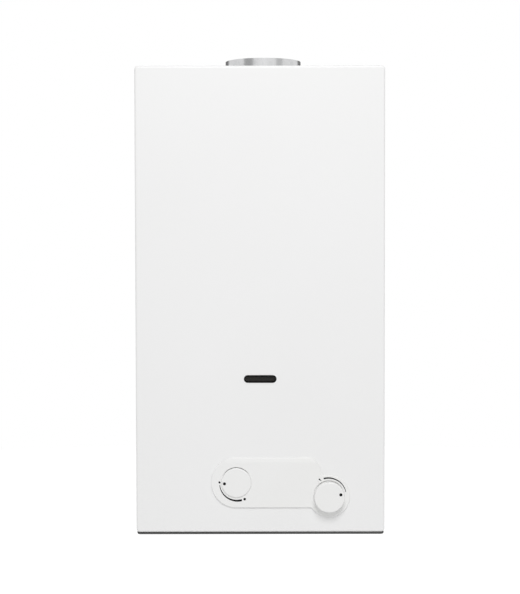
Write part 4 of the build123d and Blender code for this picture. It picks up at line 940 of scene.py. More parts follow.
class ThreadCutter(NodeTool):
    """Cuts an outside pipe thread that runs out at both ends, up a vertical axis."""

    ROUND_POINTS = 72
    ROWS_PER_TURN = 10.0

    def __init__(self) -> None:
        """Build the tree."""
        sizes = floats("Root Radius", "Thread Depth", "Pitch", "Length", "Run Out")
        super().__init__("pipe_thread", {**sizes, "Middle": Kind.VECTOR})
        graph, given = self.graph, self.graph.given
        root, pitch, length = given["Root Radius"], given["Pitch"], given["Length"]
        rows = graph.times(graph.calc("DIVIDE", length, pitch), self.ROWS_PER_TURN)
        inputs = {"Vertices": self.ROUND_POINTS, "Side Segments": rows, "Radius": root, "Depth": length}
        sleeve = graph.add("GeometryNodeMeshCylinder", inputs, fill_type="NONE").outputs["Mesh"]
        place = graph.add("GeometryNodeInputPosition").outputs[0]
        x, y, z = graph.add("ShaderNodeSeparateXYZ", {0: place}).outputs
        turn = graph.calc("DIVIDE", graph.calc("ARCTAN2", y, x), 2.0 * math.pi)
        climb = graph.calc("ADD", graph.calc("DIVIDE", z, pitch), turn)
        wave = graph.times(graph.calc("PINGPONG", climb, 0.5), 2.0)
        inset = graph.calc("SUBTRACT", graph.times(length, 0.5), graph.calc("ABSOLUTE", z))
        fade = graph.span(inset, (0.0, given["Run Out"]))
        crest = graph.times(wave, fade, given["Thread Depth"])
        swell = graph.calc("ADD", graph.calc("DIVIDE", crest, root), 1.0)
        inputs = {0: graph.times(x, swell), 1: graph.times(y, swell), 2: z}
        moved = graph.add("ShaderNodeCombineXYZ", inputs).outputs[0]
        cut = graph.add("GeometryNodeSetPosition", {"Geometry": sleeve, "Position": moved}).outputs[0]
        inputs = {"Geometry": cut, "Translation": given["Middle"]}
        self.close(graph.add("GeometryNodeTransform", inputs).outputs[0])


class Shape:
    """A mesh that grows."""

    MERGE_DISTANCE = 0.000001
    SMOOTH_ANGLE = math.radians(35.0)

    def __init__(self, *meshes: Mesh) -> None:
        """Start a shape.

        Args:
            *meshes: The meshes that it starts with, if any.
        """
        self.body = bmesh.new()
        for mesh in meshes:
            self.body.from_mesh(mesh)

    def ring(self, places: Sequence[Sequence[float]]) -> list[BMVert]:
        """Add corners at places."""
        return [self.body.verts.new(place) for place in places]

    def skin(self, rings: Sequence[list[BMVert]], capped: bool = False, closed: bool = False) -> None:
        """Join each ring of corners to the next with faces.

        Args:
            rings: The rings, all with as many corners.
            capped: Whether the first and the last ring are filled.
            closed: Whether the last ring is joined to the first.
        """
        for low, high in zip(rings, [*rings[1:], rings[0]] if closed else rings[1:]):
            for index in range(len(low)):
                after = (index + 1) % len(low)
                face = dict.fromkeys((low[index], low[after], high[after], high[index]))
                self.body.faces.new(list(face))
        if capped:
            self.body.faces.new(rings[0][::-1])
            self.body.faces.new(rings[-1])

    def lathe(
        self, profile: Sequence[Pair], steps: int, axis: Matrix = UPRIGHT, open_seam: bool = False
    ) -> None:
        """Turn a profile about its own Z axis.

        Args:
            profile: Radius and height of every corner, round the section.
            steps: How many steps go round.
            axis: Where the Z axis goes.
            open_seam: Whether the section stays open between its last corner and its first.
        """
        rings = []
        for radius, height in profile:
            spots = circle(radius, steps) if radius else [(0.0, 0.0)]
            ring = self.ring([axis @ Vector((x, y, height)) for x, y in spots])
            rings.append(ring if radius else ring * steps)
        self.skin(rings, closed=profile[0][0] > 0.0 and not open_seam)

    def slab(self, outline: Sequence[Pair], front: float, back: float) -> None:
        """Add a flat closed slab of an outline in X and Z, from a front Y to a back Y."""
        self.skin([self.ring([(x, y, z) for x, z in outline]) for y in (front, back)], capped=True)

    def mesh(self, name: str) -> Mesh:
        """Close the shape, which is freed, into a mesh with outward faces.

        Args:
            name: The mesh's name.

        Returns:
            The mesh.
        """
        body = self.body
        bmesh.ops.remove_doubles(body, verts=body.verts, dist=self.MERGE_DISTANCE)
        bmesh.ops.recalc_face_normals(body, faces=body.faces)
        for face in body.faces:
            face.smooth = True
        for edge in body.edges:
            edge.smooth = len(edge.link_faces) == 2 and edge.calc_face_angle(0.0) < self.SMOOTH_ANGLE
        mesh = bpy.data.meshes.new(name)
        body.to_mesh(mesh)
        body.free()
        return mesh


def add_piece(
    name: str, made: Mesh | Shape, material: Material, body: Body, node: str = ""
) -> None:
    """Make a finished piece that rides on a body.

    Args:
        name: The piece's name.
        made: Its mesh or shape, in the frame of the whole object.
        material: Its only material.
        body: The body that it rides on.
        node: The CAD node that it replaces, if any.
    """
    mesh = made.mesh(name) if isinstance(made, Shape) else made
    mesh.materials.clear()
    mesh.materials.append(material)
    obj = put_in_scene(name, mesh)
    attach(obj, body.value)
    if node:
        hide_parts(node)
    LOG.info("made %s, %d faces", name, len(mesh.polygons))


Coverings = dict[Finish, tuple[str, ...]]


@dataclass
class SubAssembly:
    """A group of pieces that are dressed and detailed together.

    Attributes:
        palette: The materials.
        coverings: The CAD nodes of the group by their finish.
    """

    palette: Palette
    coverings: ClassVar[Coverings] = {}

    def dress(self) -> None:
        """Give every CAD node of the group its material."""
        for finish, nodes in self.coverings.items():
            for node in nodes:
                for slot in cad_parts[node].material_slots:
                    slot.material = self.palette.paint(finish)
            LOG.info("dressed %s in %s", ", ".join(nodes), finish.name)

    def build(self) -> None:
        """Add the group's own pieces, where it has any."""


@dataclass
class Casing(SubAssembly):
    """The enamelled cover, its sight window, the wall plate, top plate and tray."""

    coverings: ClassVar[Coverings] = {
        WHITE_ENAMEL: ("front_cover", "top_plate"),
        MATT_BLACK: ("sight_window_bezel",),
        SMOKED_GLASS: ("sight_glass",),
        GALVANISED_STEEL: ("back_plate",),
        # Painted shade: the tray is dark so that its edge reads as the shadow line under the cover.
        TRAY_SHADE_STEEL: ("bottom_tray",),
        BLACK_PLASTIC: ("mains_gland",),
    }


@dataclass(frozen=True)
class PrintedWedge:
    """A printed arc round a knob that swells from its thin end to its thick end.

    Attributes:
        thin_angle: The thin end's angle, in degrees, anticlockwise from the right.
        thick_angle: The thick end's angle.
        thin_radius: The thin end's radius.
        thick_radius: The thick end's radius.
        thin_width: The thin end's width.
        thick_width: The thick end's width.
    """

    thin_angle: float
    thick_angle: float
    thin_radius: float
    thick_radius: float
    thin_width: float
    thick_width: float

    STEPS: ClassVar[int] = 48

    def outline(self, centre: Pair) -> list[Pair]:
        """Give the wedge's corners.

        Args:
            centre: The knob's axis, X and Z.

        Returns:
            The corners' X and Z, all round.
        """
        outer, inner = [], []
        for step in range(self.STEPS + 1):
            share = step / self.STEPS
            angle = self.thin_angle + share * (self.thick_angle - self.thin_angle)
            radius = self.thin_radius + share * (self.thick_radius - self.thin_radius)
            half = (self.thin_width + share * (self.thick_width - self.thin_width)) / 2
            outer.append(polar(angle, radius + half, centre))
            inner.append(polar(angle, radius - half, centre))
        return outer + inner[::-1]


@dataclass(frozen=True)
class PrintedDot:
    """A printed round mark, by its angle in degrees, its radius from the axis and its own size."""

    angle: float
    radius: float
    diameter: float

    STEPS: ClassVar[int] = 28

    def outline(self, centre: Pair) -> list[Pair]:
        """Give the X and Z of the dot's corners round a knob's axis."""
        return circle(self.diameter / 2, self.STEPS, polar(self.angle, self.radius, centre))


@dataclass(frozen=True)
class PrintedTail:
    """A short printed stroke that tapers between two places, each an angle in degrees and a radius."""

    thick_angle: float
    thick_radius: float
    thick_width: float
    thin_angle: float
    thin_radius: float
    thin_width: float

    def outline(self, centre: Pair) -> list[Pair]:
        """Give the stroke's corners.

        Args:
            centre: The knob's axis, X and Z.

        Returns:
            The corners' X and Z, all round.
        """
        thick = Vector(polar(self.thick_angle, self.thick_radius, centre))
        thin = Vector(polar(self.thin_angle, self.thin_radius, centre))
        side = (thin - thick).orthogonal().normalized() / 2
        wide, narrow = side * self.thick_width, side * self.thin_width
        return [tuple(corner) for corner in (thick + wide, thin + narrow, thin - narrow, thick - wide)]


Mark = PrintedWedge | PrintedDot | PrintedTail


@dataclass(frozen=True)
class GapRing:
    """A soft white ring that closes the gap round a knob, open at the top.

    Attributes:
        knob_radius: The knob's radius.
        hole_radius: The radius of its hole in the fascia.
        open_angle: Half the angle over which the ring is away, in degrees from straight up.
        taper_angle: The angle over which each end thins out.
        clearance: The air that is left round the knob.
        end_width: The width of the thin ends.
        steps: How many steps go along the ring.
    """

    knob_radius: float
    hole_radius: float
    open_angle: float = 40.0
    taper_angle: float = 24.0
    clearance: float = 0.00005
    end_width: float = 0.00003
    steps: int = 144

    def grow(self, shape: Shape, centre: Pair, front: float, back: float) -> None:
        """Add the ring to a shape.

        Args:
            shape: The shape.
            centre: The knob's axis, X and Z.
            front: The front face's Y.
            back: The back face's Y.
        """
        span = 360.0 - 2.0 * self.open_angle
        hole = self.hole_radius
        full = hole - self.knob_radius - self.clearance
        sections = []
        for step in range(self.steps + 1):
            along = span * step / self.steps
            share = min(1.0, along / self.taper_angle, (span - along) / self.taper_angle)
            inner = hole - self.end_width - share * (full - self.end_width)
            section = []
            for reach, y in ((inner, front), (hole, front), (hole, back), (inner, back)):
                x, z = polar(90.0 + self.open_angle + along, reach, centre)
                section.append((x, y, z))
            sections.append(shape.ring(section))
        shape.skin(sections, capped=True)


@dataclass
class ControlPanel(SubAssembly):
    """The fascia with its printed scales, and the two knobs with their pointer dots."""

    fascia_front: float = 0.2226
    ink_height: float = 0.00006
    ink_depth: float = 0.0002
    gas_axis: Pair = (-0.034, 0.0705)
    gas_front: float = 0.2246
    water_axis: Pair = (0.0965, 0.0515)
    water_front: float = 0.2365
    gas_marks: tuple[Mark, ...] = (
        PrintedDot(178.5, 0.0235, 0.003),
        PrintedWedge(187.5, 288.0, 0.0234, 0.0257, 0.00085, 0.003),
        PrintedDot(297.0, 0.026, 0.0036),
    )
    water_marks: tuple[Mark, ...] = (
        PrintedWedge(14.0, 107.0, 0.0244, 0.0258, 0.0008, 0.0022),
        PrintedDot(119.7, 0.0273, 0.0022),
        PrintedTail(119.5, 0.0268, 0.0016, 116.7, 0.0245, 0.0008),
    )
    gas_pointer: PrintedDot = PrintedDot(183.7, 0.0166, 0.0043)
    water_pointer: PrintedDot = PrintedDot(14.5, 0.0165, 0.0044)
    ring_front: float = 0.00012
    ring_back: float = 0.0018
    gas_ring: GapRing = GapRing(0.0209, 0.02152)
    water_ring: GapRing = GapRing(0.0212, 0.02182)

    coverings: ClassVar[Coverings] = {WHITE_PLASTIC: ("control_fascia", "gas_knob", "water_knob")}

    def build(self) -> None:
        """Print the scales and the pointer dots, and close the gaps round the knobs."""
        fascia, gas, water = self.fascia_front, self.gas_axis, self.water_axis
        ink = self.palette.paint(PRINTING_INK)
        for name, marks, axis, face, body in (
            ("gas_scale_print", self.gas_marks, gas, fascia, Body.COVER),
            ("water_scale_print", self.water_marks, water, fascia, Body.COVER),
            ("gas_pointer_dot", (self.gas_pointer,), gas, self.gas_front, Body.GAS_CONTROL),
            ("water_pointer_dot", (self.water_pointer,), water, self.water_front, Body.WATER_CONTROL),
        ):
            shape = Shape()
            for mark in marks:
                shape.slab(mark.outline(axis), -face - self.ink_height, -face + self.ink_depth)
            add_piece(name, shape, ink, body)
        shape = Shape()
        for ring, axis in ((self.gas_ring, gas), (self.water_ring, water)):
            ring.grow(shape, axis, self.ring_front - fascia, self.ring_back - fascia)
        add_piece("knob_gap_rings", shape, self.palette.paint(WHITE_PLASTIC), Body.COVER)


@dataclass
class Flue(SubAssembly):
    """The collar on top with its rivets, the hood and the fan that blows into it."""

    repeater: SeatRepeater
    collar_axis: Pair = (0.005, -0.11)
    rivet_circle: float = 0.0605
    rivet_angles: tuple[float, ...] = (45.0, 135.0, 225.0, 315.0)
    rivet_radius: float = 0.0016
    rivet_head_radius: float = 0.003
    rivet_head_height: float = 0.0014
    rivet_steps: int = 24
    dome_steps: int = 5
    sheet_top: float = 0.6547
    sheet_bottom: float = 0.6527

    coverings: ClassVar[Coverings] = {
        COLLAR_STEEL: ("flue_collar",),
        GALVANISED_STEEL: ("flue_hood", "fan_scroll", "fan_front_plate", "flue_transition", "fan_impeller"),
        MOTOR_STEEL: ("fan_motor",),
        ZINC_PLATE: ("fan_shaft",),
        BLACK_PLASTIC: ("cooling_fan",),
        GREY_PLASTIC: ("pressure_switch",),
    }

    def build(self) -> None:
        """Set a domed rivet in every hole of the collar's flange."""
        rise, reach = self.rivet_head_height, self.rivet_head_radius
        gap = self.sheet_bottom - self.sheet_top
        dome = [polar(90.0 * step / self.dome_steps, 1.0) for step in range(self.dome_steps + 1)]
        top = [(reach * across, rise * up) for across, up in dome]
        bottom = [(reach * across, gap - rise * up) for across, up in dome[::-1]]
        profile = [(0.0, bottom[0][1]), *bottom[1:], (self.rivet_radius, gap), (self.rivet_radius, 0.0)]
        profile += [*top[:-1], (0.0, top[-1][1])]
        shape = Shape()
        shape.lathe(profile, self.rivet_steps)
        places = [polar(angle, self.rivet_circle, self.collar_axis) for angle in self.rivet_angles]
        seats = [((x, y, self.sheet_top), Facing.UP) for x, y in places]
        steel = self.palette.paint(ZINC_PLATE)
        mesh = self.repeater.set_out(shape.mesh("domed_rivet"), seats, steel)
        add_piece("domed_collar_rivets", mesh, steel, Body.CHASSIS, "collar_rivets")


@dataclass
class Fasteners(SubAssembly):
    """The cross-recess screws of the casing, the valves and the control box.

    Their CAD nodes are replaced, so none is dressed. The head's shares are those of its radius and
    height, from its rim up, and the recess's shares those of its reach, from its mouth down.
    """

    repeater: SeatRepeater
    head_radius: float = 0.0038
    head_height: float = 0.002
    head_shares: tuple[Pair, ...] = ((1.0, 0.0), (1.0, 0.45), (0.93, 0.75), (0.72, 0.95), (0.4, 1.0))
    head_steps: int = 32
    shank_radius: float = 0.002
    tip_share: float = 0.6
    recess_reach: float = 0.0021
    recess_width: float = 0.0008
    recess_depth: float = 0.0013
    recess_mouth: float = 0.0024
    recess_shares: Pair = (1.0, 0.45)
    recess_arms: int = 4
    casing_shank: float = 0.007
    cap_shank: float = 0.011
    disc_shank: float = 0.024
    side_seat: Pair = (0.175, -0.012)
    side_heights: Pair = (0.11, 0.545)
    tray_seat: Point = (0.15, -0.012, -0.0033)
    cap_centre: Point = (-0.034, -0.2, 0.0705)
    cap_half_spacing: float = 0.018
    disc_centre: Point = (0.0365, -0.16, 0.0705)
    disc_circle: float = 0.0294
    disc_angles: tuple[float, ...] = (30.0, 90.0, 150.0, 210.0, 270.0, 330.0)
    lid_front: float = -0.201
    lid_columns: Pair = (-0.1604, -0.1276)
    lid_rows: Pair = (0.0035, 0.1293)
    casing_seed: int = 3
    cap_seed: int = 5
    disc_seed: int = 8
    lid_seed: int = 11

    def build(self) -> None:
        """Drive every screw."""
        casing = (self.casing_shank, self._casing_seats(), self.casing_seed)
        cap = (self.cap_shank, self._cap_seats(), self.cap_seed)
        disc = (self.disc_shank, self._disc_seats(), self.disc_seed)
        lid = (self.casing_shank, self._lid_seats(), self.lid_seed)
        steel = self.palette.paint(ZINC_PLATE)
        for name, sets, node in (
            ("casing_pan_screws", (casing,), "casing_screws"),
            ("valve_pan_screws", (cap, disc), "valve_screws"),
            ("lid_pan_screws", (lid,), ""),
        ):
            made = [
                self.repeater.set_out(self._screw(shank), seats, steel, math.pi, seed)
                for shank, seats, seed in sets
            ]
            screws = Shape(*made) if len(made) > 1 else made[0]
            add_piece(name, screws, steel, Body.CHASSIS, node)

    def _casing_seats(self) -> list[Seat]:
        """Give the seats on the cover's sides and under the tray.

        Returns:
            The place and facing of every seat.
        """
        x, y = self.side_seat
        sides = ((-1.0, Facing.LEFT), (1.0, Facing.RIGHT))
        seats = [((side * x, y, z), facing) for side, facing in sides for z in self.side_heights]
        x, y, z = self.tray_seat
        return seats + [((side * x, y, z), Facing.DOWN) for side, _ in sides]

    def _cap_seats(self) -> list[Seat]:
        """Give the seats on the gas valve's cap.

        Returns:
            The place and facing of every seat.
        """
        x, y, z = self.cap_centre
        steps = (-self.cap_half_spacing, self.cap_half_spacing)
        return [((x + across, y, z + up), Facing.FRONT) for across in steps for up in steps]

    def _disc_seats(self) -> list[Seat]:
        """Give the seats round the water valve's cover.

        Returns:
            The place and facing of every seat.
        """
        x, *centre = self.disc_centre
        places = [polar(angle, self.disc_circle, centre) for angle in self.disc_angles]
        return [((x, y, z), Facing.LEFT) for y, z in places]

    def _lid_seats(self) -> list[Seat]:
        """Give the seats in the corners of the control box's lid."""
        return [((x, self.lid_front, z), Facing.FRONT) for x in self.lid_columns for z in self.lid_rows]

    def _screw(self, shank: float) -> Mesh:
        """Make one screw, its head above Z = 0.

        Args:
            shank: The shank's length.

        Returns:
            The screw's mesh.
        """
        core = self.shank_radius
        profile = [(0.0, -shank), (core * self.tip_share, -shank), (core, -shank + core), (core, 0.0)]
        profile += [(self.head_radius * out, self.head_height * up) for out, up in self.head_shares]
        shape = Shape()
        shape.lathe([*profile, (0.0, self.head_height)], self.head_steps)
        blank = put_in_scene("screw_blank", shape.mesh("screw_blank"))
        cutter = put_in_scene("cross_cutter", self._cross())
        cut = blank.modifiers.new("recess", "BOOLEAN")
        cut.operation = "DIFFERENCE"
        cut.solver = "EXACT"
        cut.object = cutter
        mesh = applied(blank)
        for obj in (blank, cutter):
            bpy.data.objects.remove(obj)
        return mesh

    def _cross(self) -> Mesh:
        """Make the tapered cross that cuts the recess.

        Returns:
            The cross's mesh.
        """
        half, bottom = self.recess_width / 2, self.head_height - self.recess_depth
        shape = Shape()
        rings = []
        for height, share in zip((self.recess_mouth, bottom), self.recess_shares):
            reach = self.recess_reach * share
            arm = [(reach, -half), (reach, half), (half, half)]
            corners = []
            for _ in range(self.recess_arms):
                corners += arm
                arm = [(-y, x) for x, y in arm]
            rings.append(shape.ring([(x, y, height) for x, y in corners]))
        shape.skin(rings, capped=True)
        return shape.mesh("cross_cutter")


@dataclass
class HeatExchanger(SubAssembly):
    """The copper shell with its fins, tubes and coil, and the water pipes to and from it."""

    coverings: ClassVar[Coverings] = {
        DRAWN_COPPER: (
            "exchanger_shell", "exchanger_fins", "exchanger_tubes", "water_coil", "hot_pipe", "cold_pipe",
        ),
        GALVANISED_STEEL: ("exchanger_brackets",),
        TURNED_BRASS: ("pipe_union_nuts",),
        MOTOR_STEEL: ("overheat_thermostat",),
    }


@dataclass
class Burner(SubAssembly):
    """The burner bars with their manifold, injectors, electrodes and mica window."""

    repeater: SeatRepeater
    injector_count: int = 13
    injector_pitch: float = 0.016
    injector_back: float = -0.178
    injector_height: float = 0.134
    injector_length: float = 0.007
    injector_radius: float = 0.004
    injector_neck: float = 0.00288
    injector_tip: float = 0.002
    injector_bore: float = 0.0008
    hex_length: float = 0.00315
    neck_end: float = 0.0039375
    nose_steps: int = 20

    coverings: ClassVar[Coverings] = {
        BURNER_STEEL: ("burner_bars",),
        GALVANISED_STEEL: ("burner_frame", "electrode_plate"),
        CAST_ALUMINIUM: ("gas_manifold",),
        MICA_SHEET: ("sight_mica",),
        GLAZED_CERAMIC: ("ignition_electrode", "flame_sensor"),
        RED_SILICONE: ("electrode_boots",),
    }

    def build(self) -> None:
        """Screw an injector into the manifold in front of every bar."""
        bore, flat, neck = self.injector_bore, self.injector_radius, self.injector_neck
        shoulder, end = self.hex_length, self.injector_length
        shape = Shape()
        shape.lathe([(bore, 0.0), (flat, 0.0), (flat, shoulder), (bore, shoulder)], HEX_SIDES)
        nose = [(bore, shoulder), (neck, shoulder), (neck, self.neck_end)]
        nose += [(self.injector_tip, end), (bore, end)]
        shape.lathe(nose, self.nose_steps)
        first = -(self.injector_count - 1) / 2 * self.injector_pitch
        places = [first + index * self.injector_pitch for index in range(self.injector_count)]
        seats = [((x, self.injector_back, self.injector_height), Facing.BACK) for x in places]
        brass = self.palette.paint(TURNED_BRASS)
        mesh = self.repeater.set_out(shape.mesh("hex_injector"), seats, brass)
        add_piece("hex_gas_injectors", mesh, brass, Body.CHASSIS, "gas_injectors")


@dataclass(frozen=True)
class Nipple:
    """A threaded nipple through the tray, by its axis and the height of its top."""

    x: float
    y: float
    top: float


@dataclass
class Valves(SubAssembly):
    """The gas valve and the water valve, with the threaded nipples under the tray."""

    cutter: ThreadCutter
    body_radius: float = 0.012
    bore: float = 0.0075
    root_radius: float = 0.00958
    thread_depth: float = 0.0009
    thread_pitch: float = 0.0018
    run_out: float = 0.0012
    shoulder: float = -0.0033
    thread_end: float = -0.0123
    hex_flats: float = 0.027
    hex_inner: float = 0.01188
    hex_low: float = 0.008
    hex_high: float = 0.017
    chamfer: float = 0.0015
    gas_nipple: Nipple = Nipple(-0.034, -0.16, 0.0415)
    cold_nipple: Nipple = Nipple(0.0965, -0.16, 0.0275)
    hot_nipple: Nipple = Nipple(-0.09, -0.09, 0.028)

    coverings: ClassVar[Coverings] = {
        CAST_ALUMINIUM: ("gas_valve_body", "valve_caps"),
        BLACK_PLASTIC: ("gas_solenoid",),
        BLACK_RUBBER: ("diaphragm",),
        TURNED_BRASS: (
            "water_valve_body", "water_valve_cover", "drain_plug", "gas_spindle", "water_spindle", "push_rod",
        ),
    }

    def build(self) -> None:
        """Make the threaded nipples."""
        brass = self.palette.paint(TURNED_BRASS)
        for name, nipples, node in (
            ("threaded_gas_nipple", (self.gas_nipple,), "gas_inlet_nipple"),
            ("threaded_water_nipples", (self.cold_nipple, self.hot_nipple), "water_nipples"),
        ):
            shape = Shape(*[self._thread(nipple, brass) for nipple in nipples])
            for nipple in nipples:
                self._turn(shape, nipple)
            add_piece(name, shape, brass, Body.CHASSIS, node)

    def _thread(self, nipple: Nipple, brass: Material) -> Mesh:
        """Cut a nipple's thread.

        Args:
            nipple: The nipple.
            brass: The nipple's material.

        Returns:
            The thread's mesh.
        """
        values = {
            "Root Radius": self.root_radius,
            "Thread Depth": self.thread_depth,
            "Pitch": self.thread_pitch,
            "Length": self.shoulder - self.thread_end,
            "Run Out": self.run_out,
            "Middle": (nipple.x, nipple.y, (self.shoulder + self.thread_end) / 2),
            "Finish": brass,
        }
        return self.cutter.run(bpy.data.meshes.new("thread_blank"), values)

    def _turn(self, shape: Shape, nipple: Nipple) -> None:
        """Turn a nipple's body round its open thread, with its hexagon.

        Args:
            shape: The shape that has the thread.
            nipple: The nipple.
        """
        axis = Matrix.Translation((nipple.x, nipple.y, 0.0))
        root, body, low, high = self.root_radius, self.body_radius, self.hex_low, self.hex_high
        profile = [(root, self.shoulder), (body, self.shoulder), (body, nipple.top), (self.bore, nipple.top)]
        profile += [(self.bore, self.thread_end), (root, self.thread_end)]
        shape.lathe(profile, ThreadCutter.ROUND_POINTS, axis, open_seam=True)
        flats = self.hex_flats / 2
        corner = flats / math.cos(math.pi / HEX_SIDES)
        hexagon = [(self.hex_inner, low), (flats, low), (corner, low + self.chamfer)]
        hexagon += [(corner, high - self.chamfer), (flats, high), (self.hex_inner, high)]
        shape.lathe(hexagon, HEX_SIDES, axis)


@dataclass(frozen=True)
class CordRoute:
    """A lead or hose between two fittings.

    Attributes:
        name: The piece's name.
        finish: Its finish.
        slot: The record's material slot; not used.
        node: The CAD node that it stands for.
        points: The control points of its line.
        entry: The way that the grommet at its end faces, if it has one.
        diameter: Its outside diameter.
        stiffness: How stiff it is; not used.
    """

    name: str
    finish: Finish
    slot: str
    node: str
    points: tuple[Point, ...]
    entry: Facing | None = Facing.UP
    diameter: float = 0.004
    stiffness: str = "medium"


@dataclass(frozen=True)
class RibRow:
    """A row of ribs on the control box.

    Attributes:
        length: Every rib's length.
        middle: The row's middle.
        step: The step from one rib to the next.
        count: How many ribs there are.
        facing: The way that they stand out.
    """

    length: float
    middle: Point
    step: Point
    count: int
    facing: Facing

    def seats(self) -> list[Seat]:
        """Set out the row.

        Returns:
            The place and facing of every rib.
        """
        step = Vector(self.step)
        first = Vector(self.middle) - step * ((self.count - 1) / 2)
        return [(tuple(first + step * index), self.facing) for index in range(self.count)]


@dataclass
class Wiring(SubAssembly):
    """The control box with its ribs and grommets, its leads and the pressure hose.

    The rib's levels are its heights and the share of its width at each.
    """

    repeater: SeatRepeater
    rib_rows: tuple[RibRow, ...] = (
        RibRow(0.028, (-0.144, -0.201, 0.0664), (0.0, 0.0, 0.009), 9, Facing.FRONT),
        RibRow(0.09, (-0.166, -0.151, 0.0664), (0.0, 0.0095, 0.0), 8, Facing.LEFT),
    )
    rib_width: float = 0.0032
    rib_levels: tuple[Pair, ...] = ((-0.0002, 1.0), (0.0005, 1.0), (0.0009, 0.82), (0.0011, 0.5))
    rib_end_steps: int = 6
    grommet_profile: tuple[Pair, ...] = (
        (0.00205, -0.0005), (0.0042, -0.0005), (0.0042, 0.0009), (0.0038, 0.0014), (0.003, 0.0018),
        (0.0026, 0.0038), (0.00205, 0.0038),
    )
    grommet_steps: int = 28
    cord_round_steps: int = 4
    cord_line_steps: int = 12
    cord_order: int = 3
    routes: tuple[CordRoute, ...] = (
        CordRoute("ignition_lead", RED_SILICONE, "red_silicone", "electrode_leads", (
            (-0.0335, -0.1955, 0.212), (-0.07, -0.197, 0.21), (-0.115, -0.2, 0.192),
            (-0.142, -0.182, 0.166), (-0.142, -0.182, 0.1349),
        )),
        CordRoute("flame_sensor_lead", RED_SILICONE, "red_silicone", "electrode_leads", (
            (0.0205, -0.1955, 0.212), (-0.005, -0.199, 0.204), (-0.05, -0.2, 0.199),
            (-0.102, -0.198, 0.184), (-0.131, -0.18, 0.162), (-0.131, -0.18, 0.1349),
        )),
        CordRoute("thermostat_lead", GREY_INSULATION, "grey_insulation", "wiring", (
            (-0.07, -0.183, 0.412), (-0.07, -0.202, 0.412), (-0.104, -0.204, 0.38), (-0.146, -0.198, 0.33),
            (-0.157, -0.19, 0.25), (-0.154, -0.182, 0.175), (-0.154, -0.182, 0.1349),
        )),
        CordRoute("fan_lead", GREY_INSULATION, "grey_insulation", "wiring", (
            (-0.0805, -0.1582, 0.549), (-0.122, -0.16, 0.548), (-0.156, -0.166, 0.498),
            (-0.163, -0.172, 0.4), (-0.162, -0.178, 0.28), (-0.162, -0.176, 0.18), (-0.162, -0.176, 0.1349),
        )),
        CordRoute("solenoid_lead", GREY_INSULATION, "grey_insulation", "wiring", (
            (-0.082, -0.16, 0.0865), (-0.082, -0.16, 0.1125), (-0.122, -0.16, 0.1125),
        ), Facing.RIGHT),
        CordRoute("pressure_tube", CLEAR_SILICONE, "clear_silicone", "pressure_hose", (
            (0.095, -0.031, 0.58), (0.095, -0.0975, 0.58), (0.036, -0.0975, 0.58),
        ), None, 0.0102, "stiff"),
    )

    coverings: ClassVar[Coverings] = {GREY_PLASTIC: ("control_box", "control_box_lid")}

    def build(self) -> None:
        """Lay every lead and the hose, and finish the control box."""
        for route in self.routes:
            self._lay(route)
        plastic = self.palette.paint(GREY_PLASTIC)
        rows = [self.repeater.set_out(self._rib(row.length), row.seats(), plastic) for row in self.rib_rows]
        add_piece("control_box_ribs", Shape(*rows), plastic, Body.CHASSIS)
        rubber = self.palette.paint(BLACK_RUBBER)
        shape = Shape()
        shape.lathe(self.grommet_profile, self.grommet_steps)
        seats = [(route.points[-1], route.entry) for route in self.routes if route.entry]
        mesh = self.repeater.set_out(shape.mesh("grommet"), seats, rubber)
        add_piece("control_box_grommets", mesh, rubber, Body.CHASSIS)

    def _rib(self, length: float) -> Mesh:
        """Make one rounded rib along X that stands on Z = 0.

        Args:
            length: The rib's length.

        Returns:
            The rib's mesh.
        """
        radius = self.rib_width / 2
        reach = length / 2 - radius
        angles = [180.0 * (step / self.rib_end_steps - 0.5) for step in range(self.rib_end_steps + 1)]
        shape = Shape()
        rings = []
        for height, share in self.rib_levels:
            end = [polar(angle, radius * share, (reach, 0.0)) for angle in angles]
            loop = end + [(-x, -y) for x, y in end]
            rings.append(shape.ring([(x, y, height) for x, y in loop]))
        shape.skin(rings, capped=True)
        return shape.mesh("box_rib")

    def _lay(self, route: CordRoute) -> None:
        """Args:
            route: The route.
        """
        curve = bpy.data.curves.new(route.name, "CURVE")
        curve.dimensions = "3D"
        curve.bevel_depth = route.diameter / 2
        curve.bevel_resolution = self.cord_round_steps
        curve.resolution_u = self.cord_line_steps
        curve.use_fill_caps = True
        spline = curve.splines.new("NURBS")
        spline.points.add(len(route.points) - 1)
        for point, place in zip(spline.points, route.points):
            point.co = (*place, 1.0)
        spline.order_u = self.cord_order
        spline.use_endpoint_u = True
        curve.materials.append(self.palette.paint(route.finish))
        piece = put_in_scene(route.name, curve)
        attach(piece, Body.CHASSIS.value)
        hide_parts(route.node)


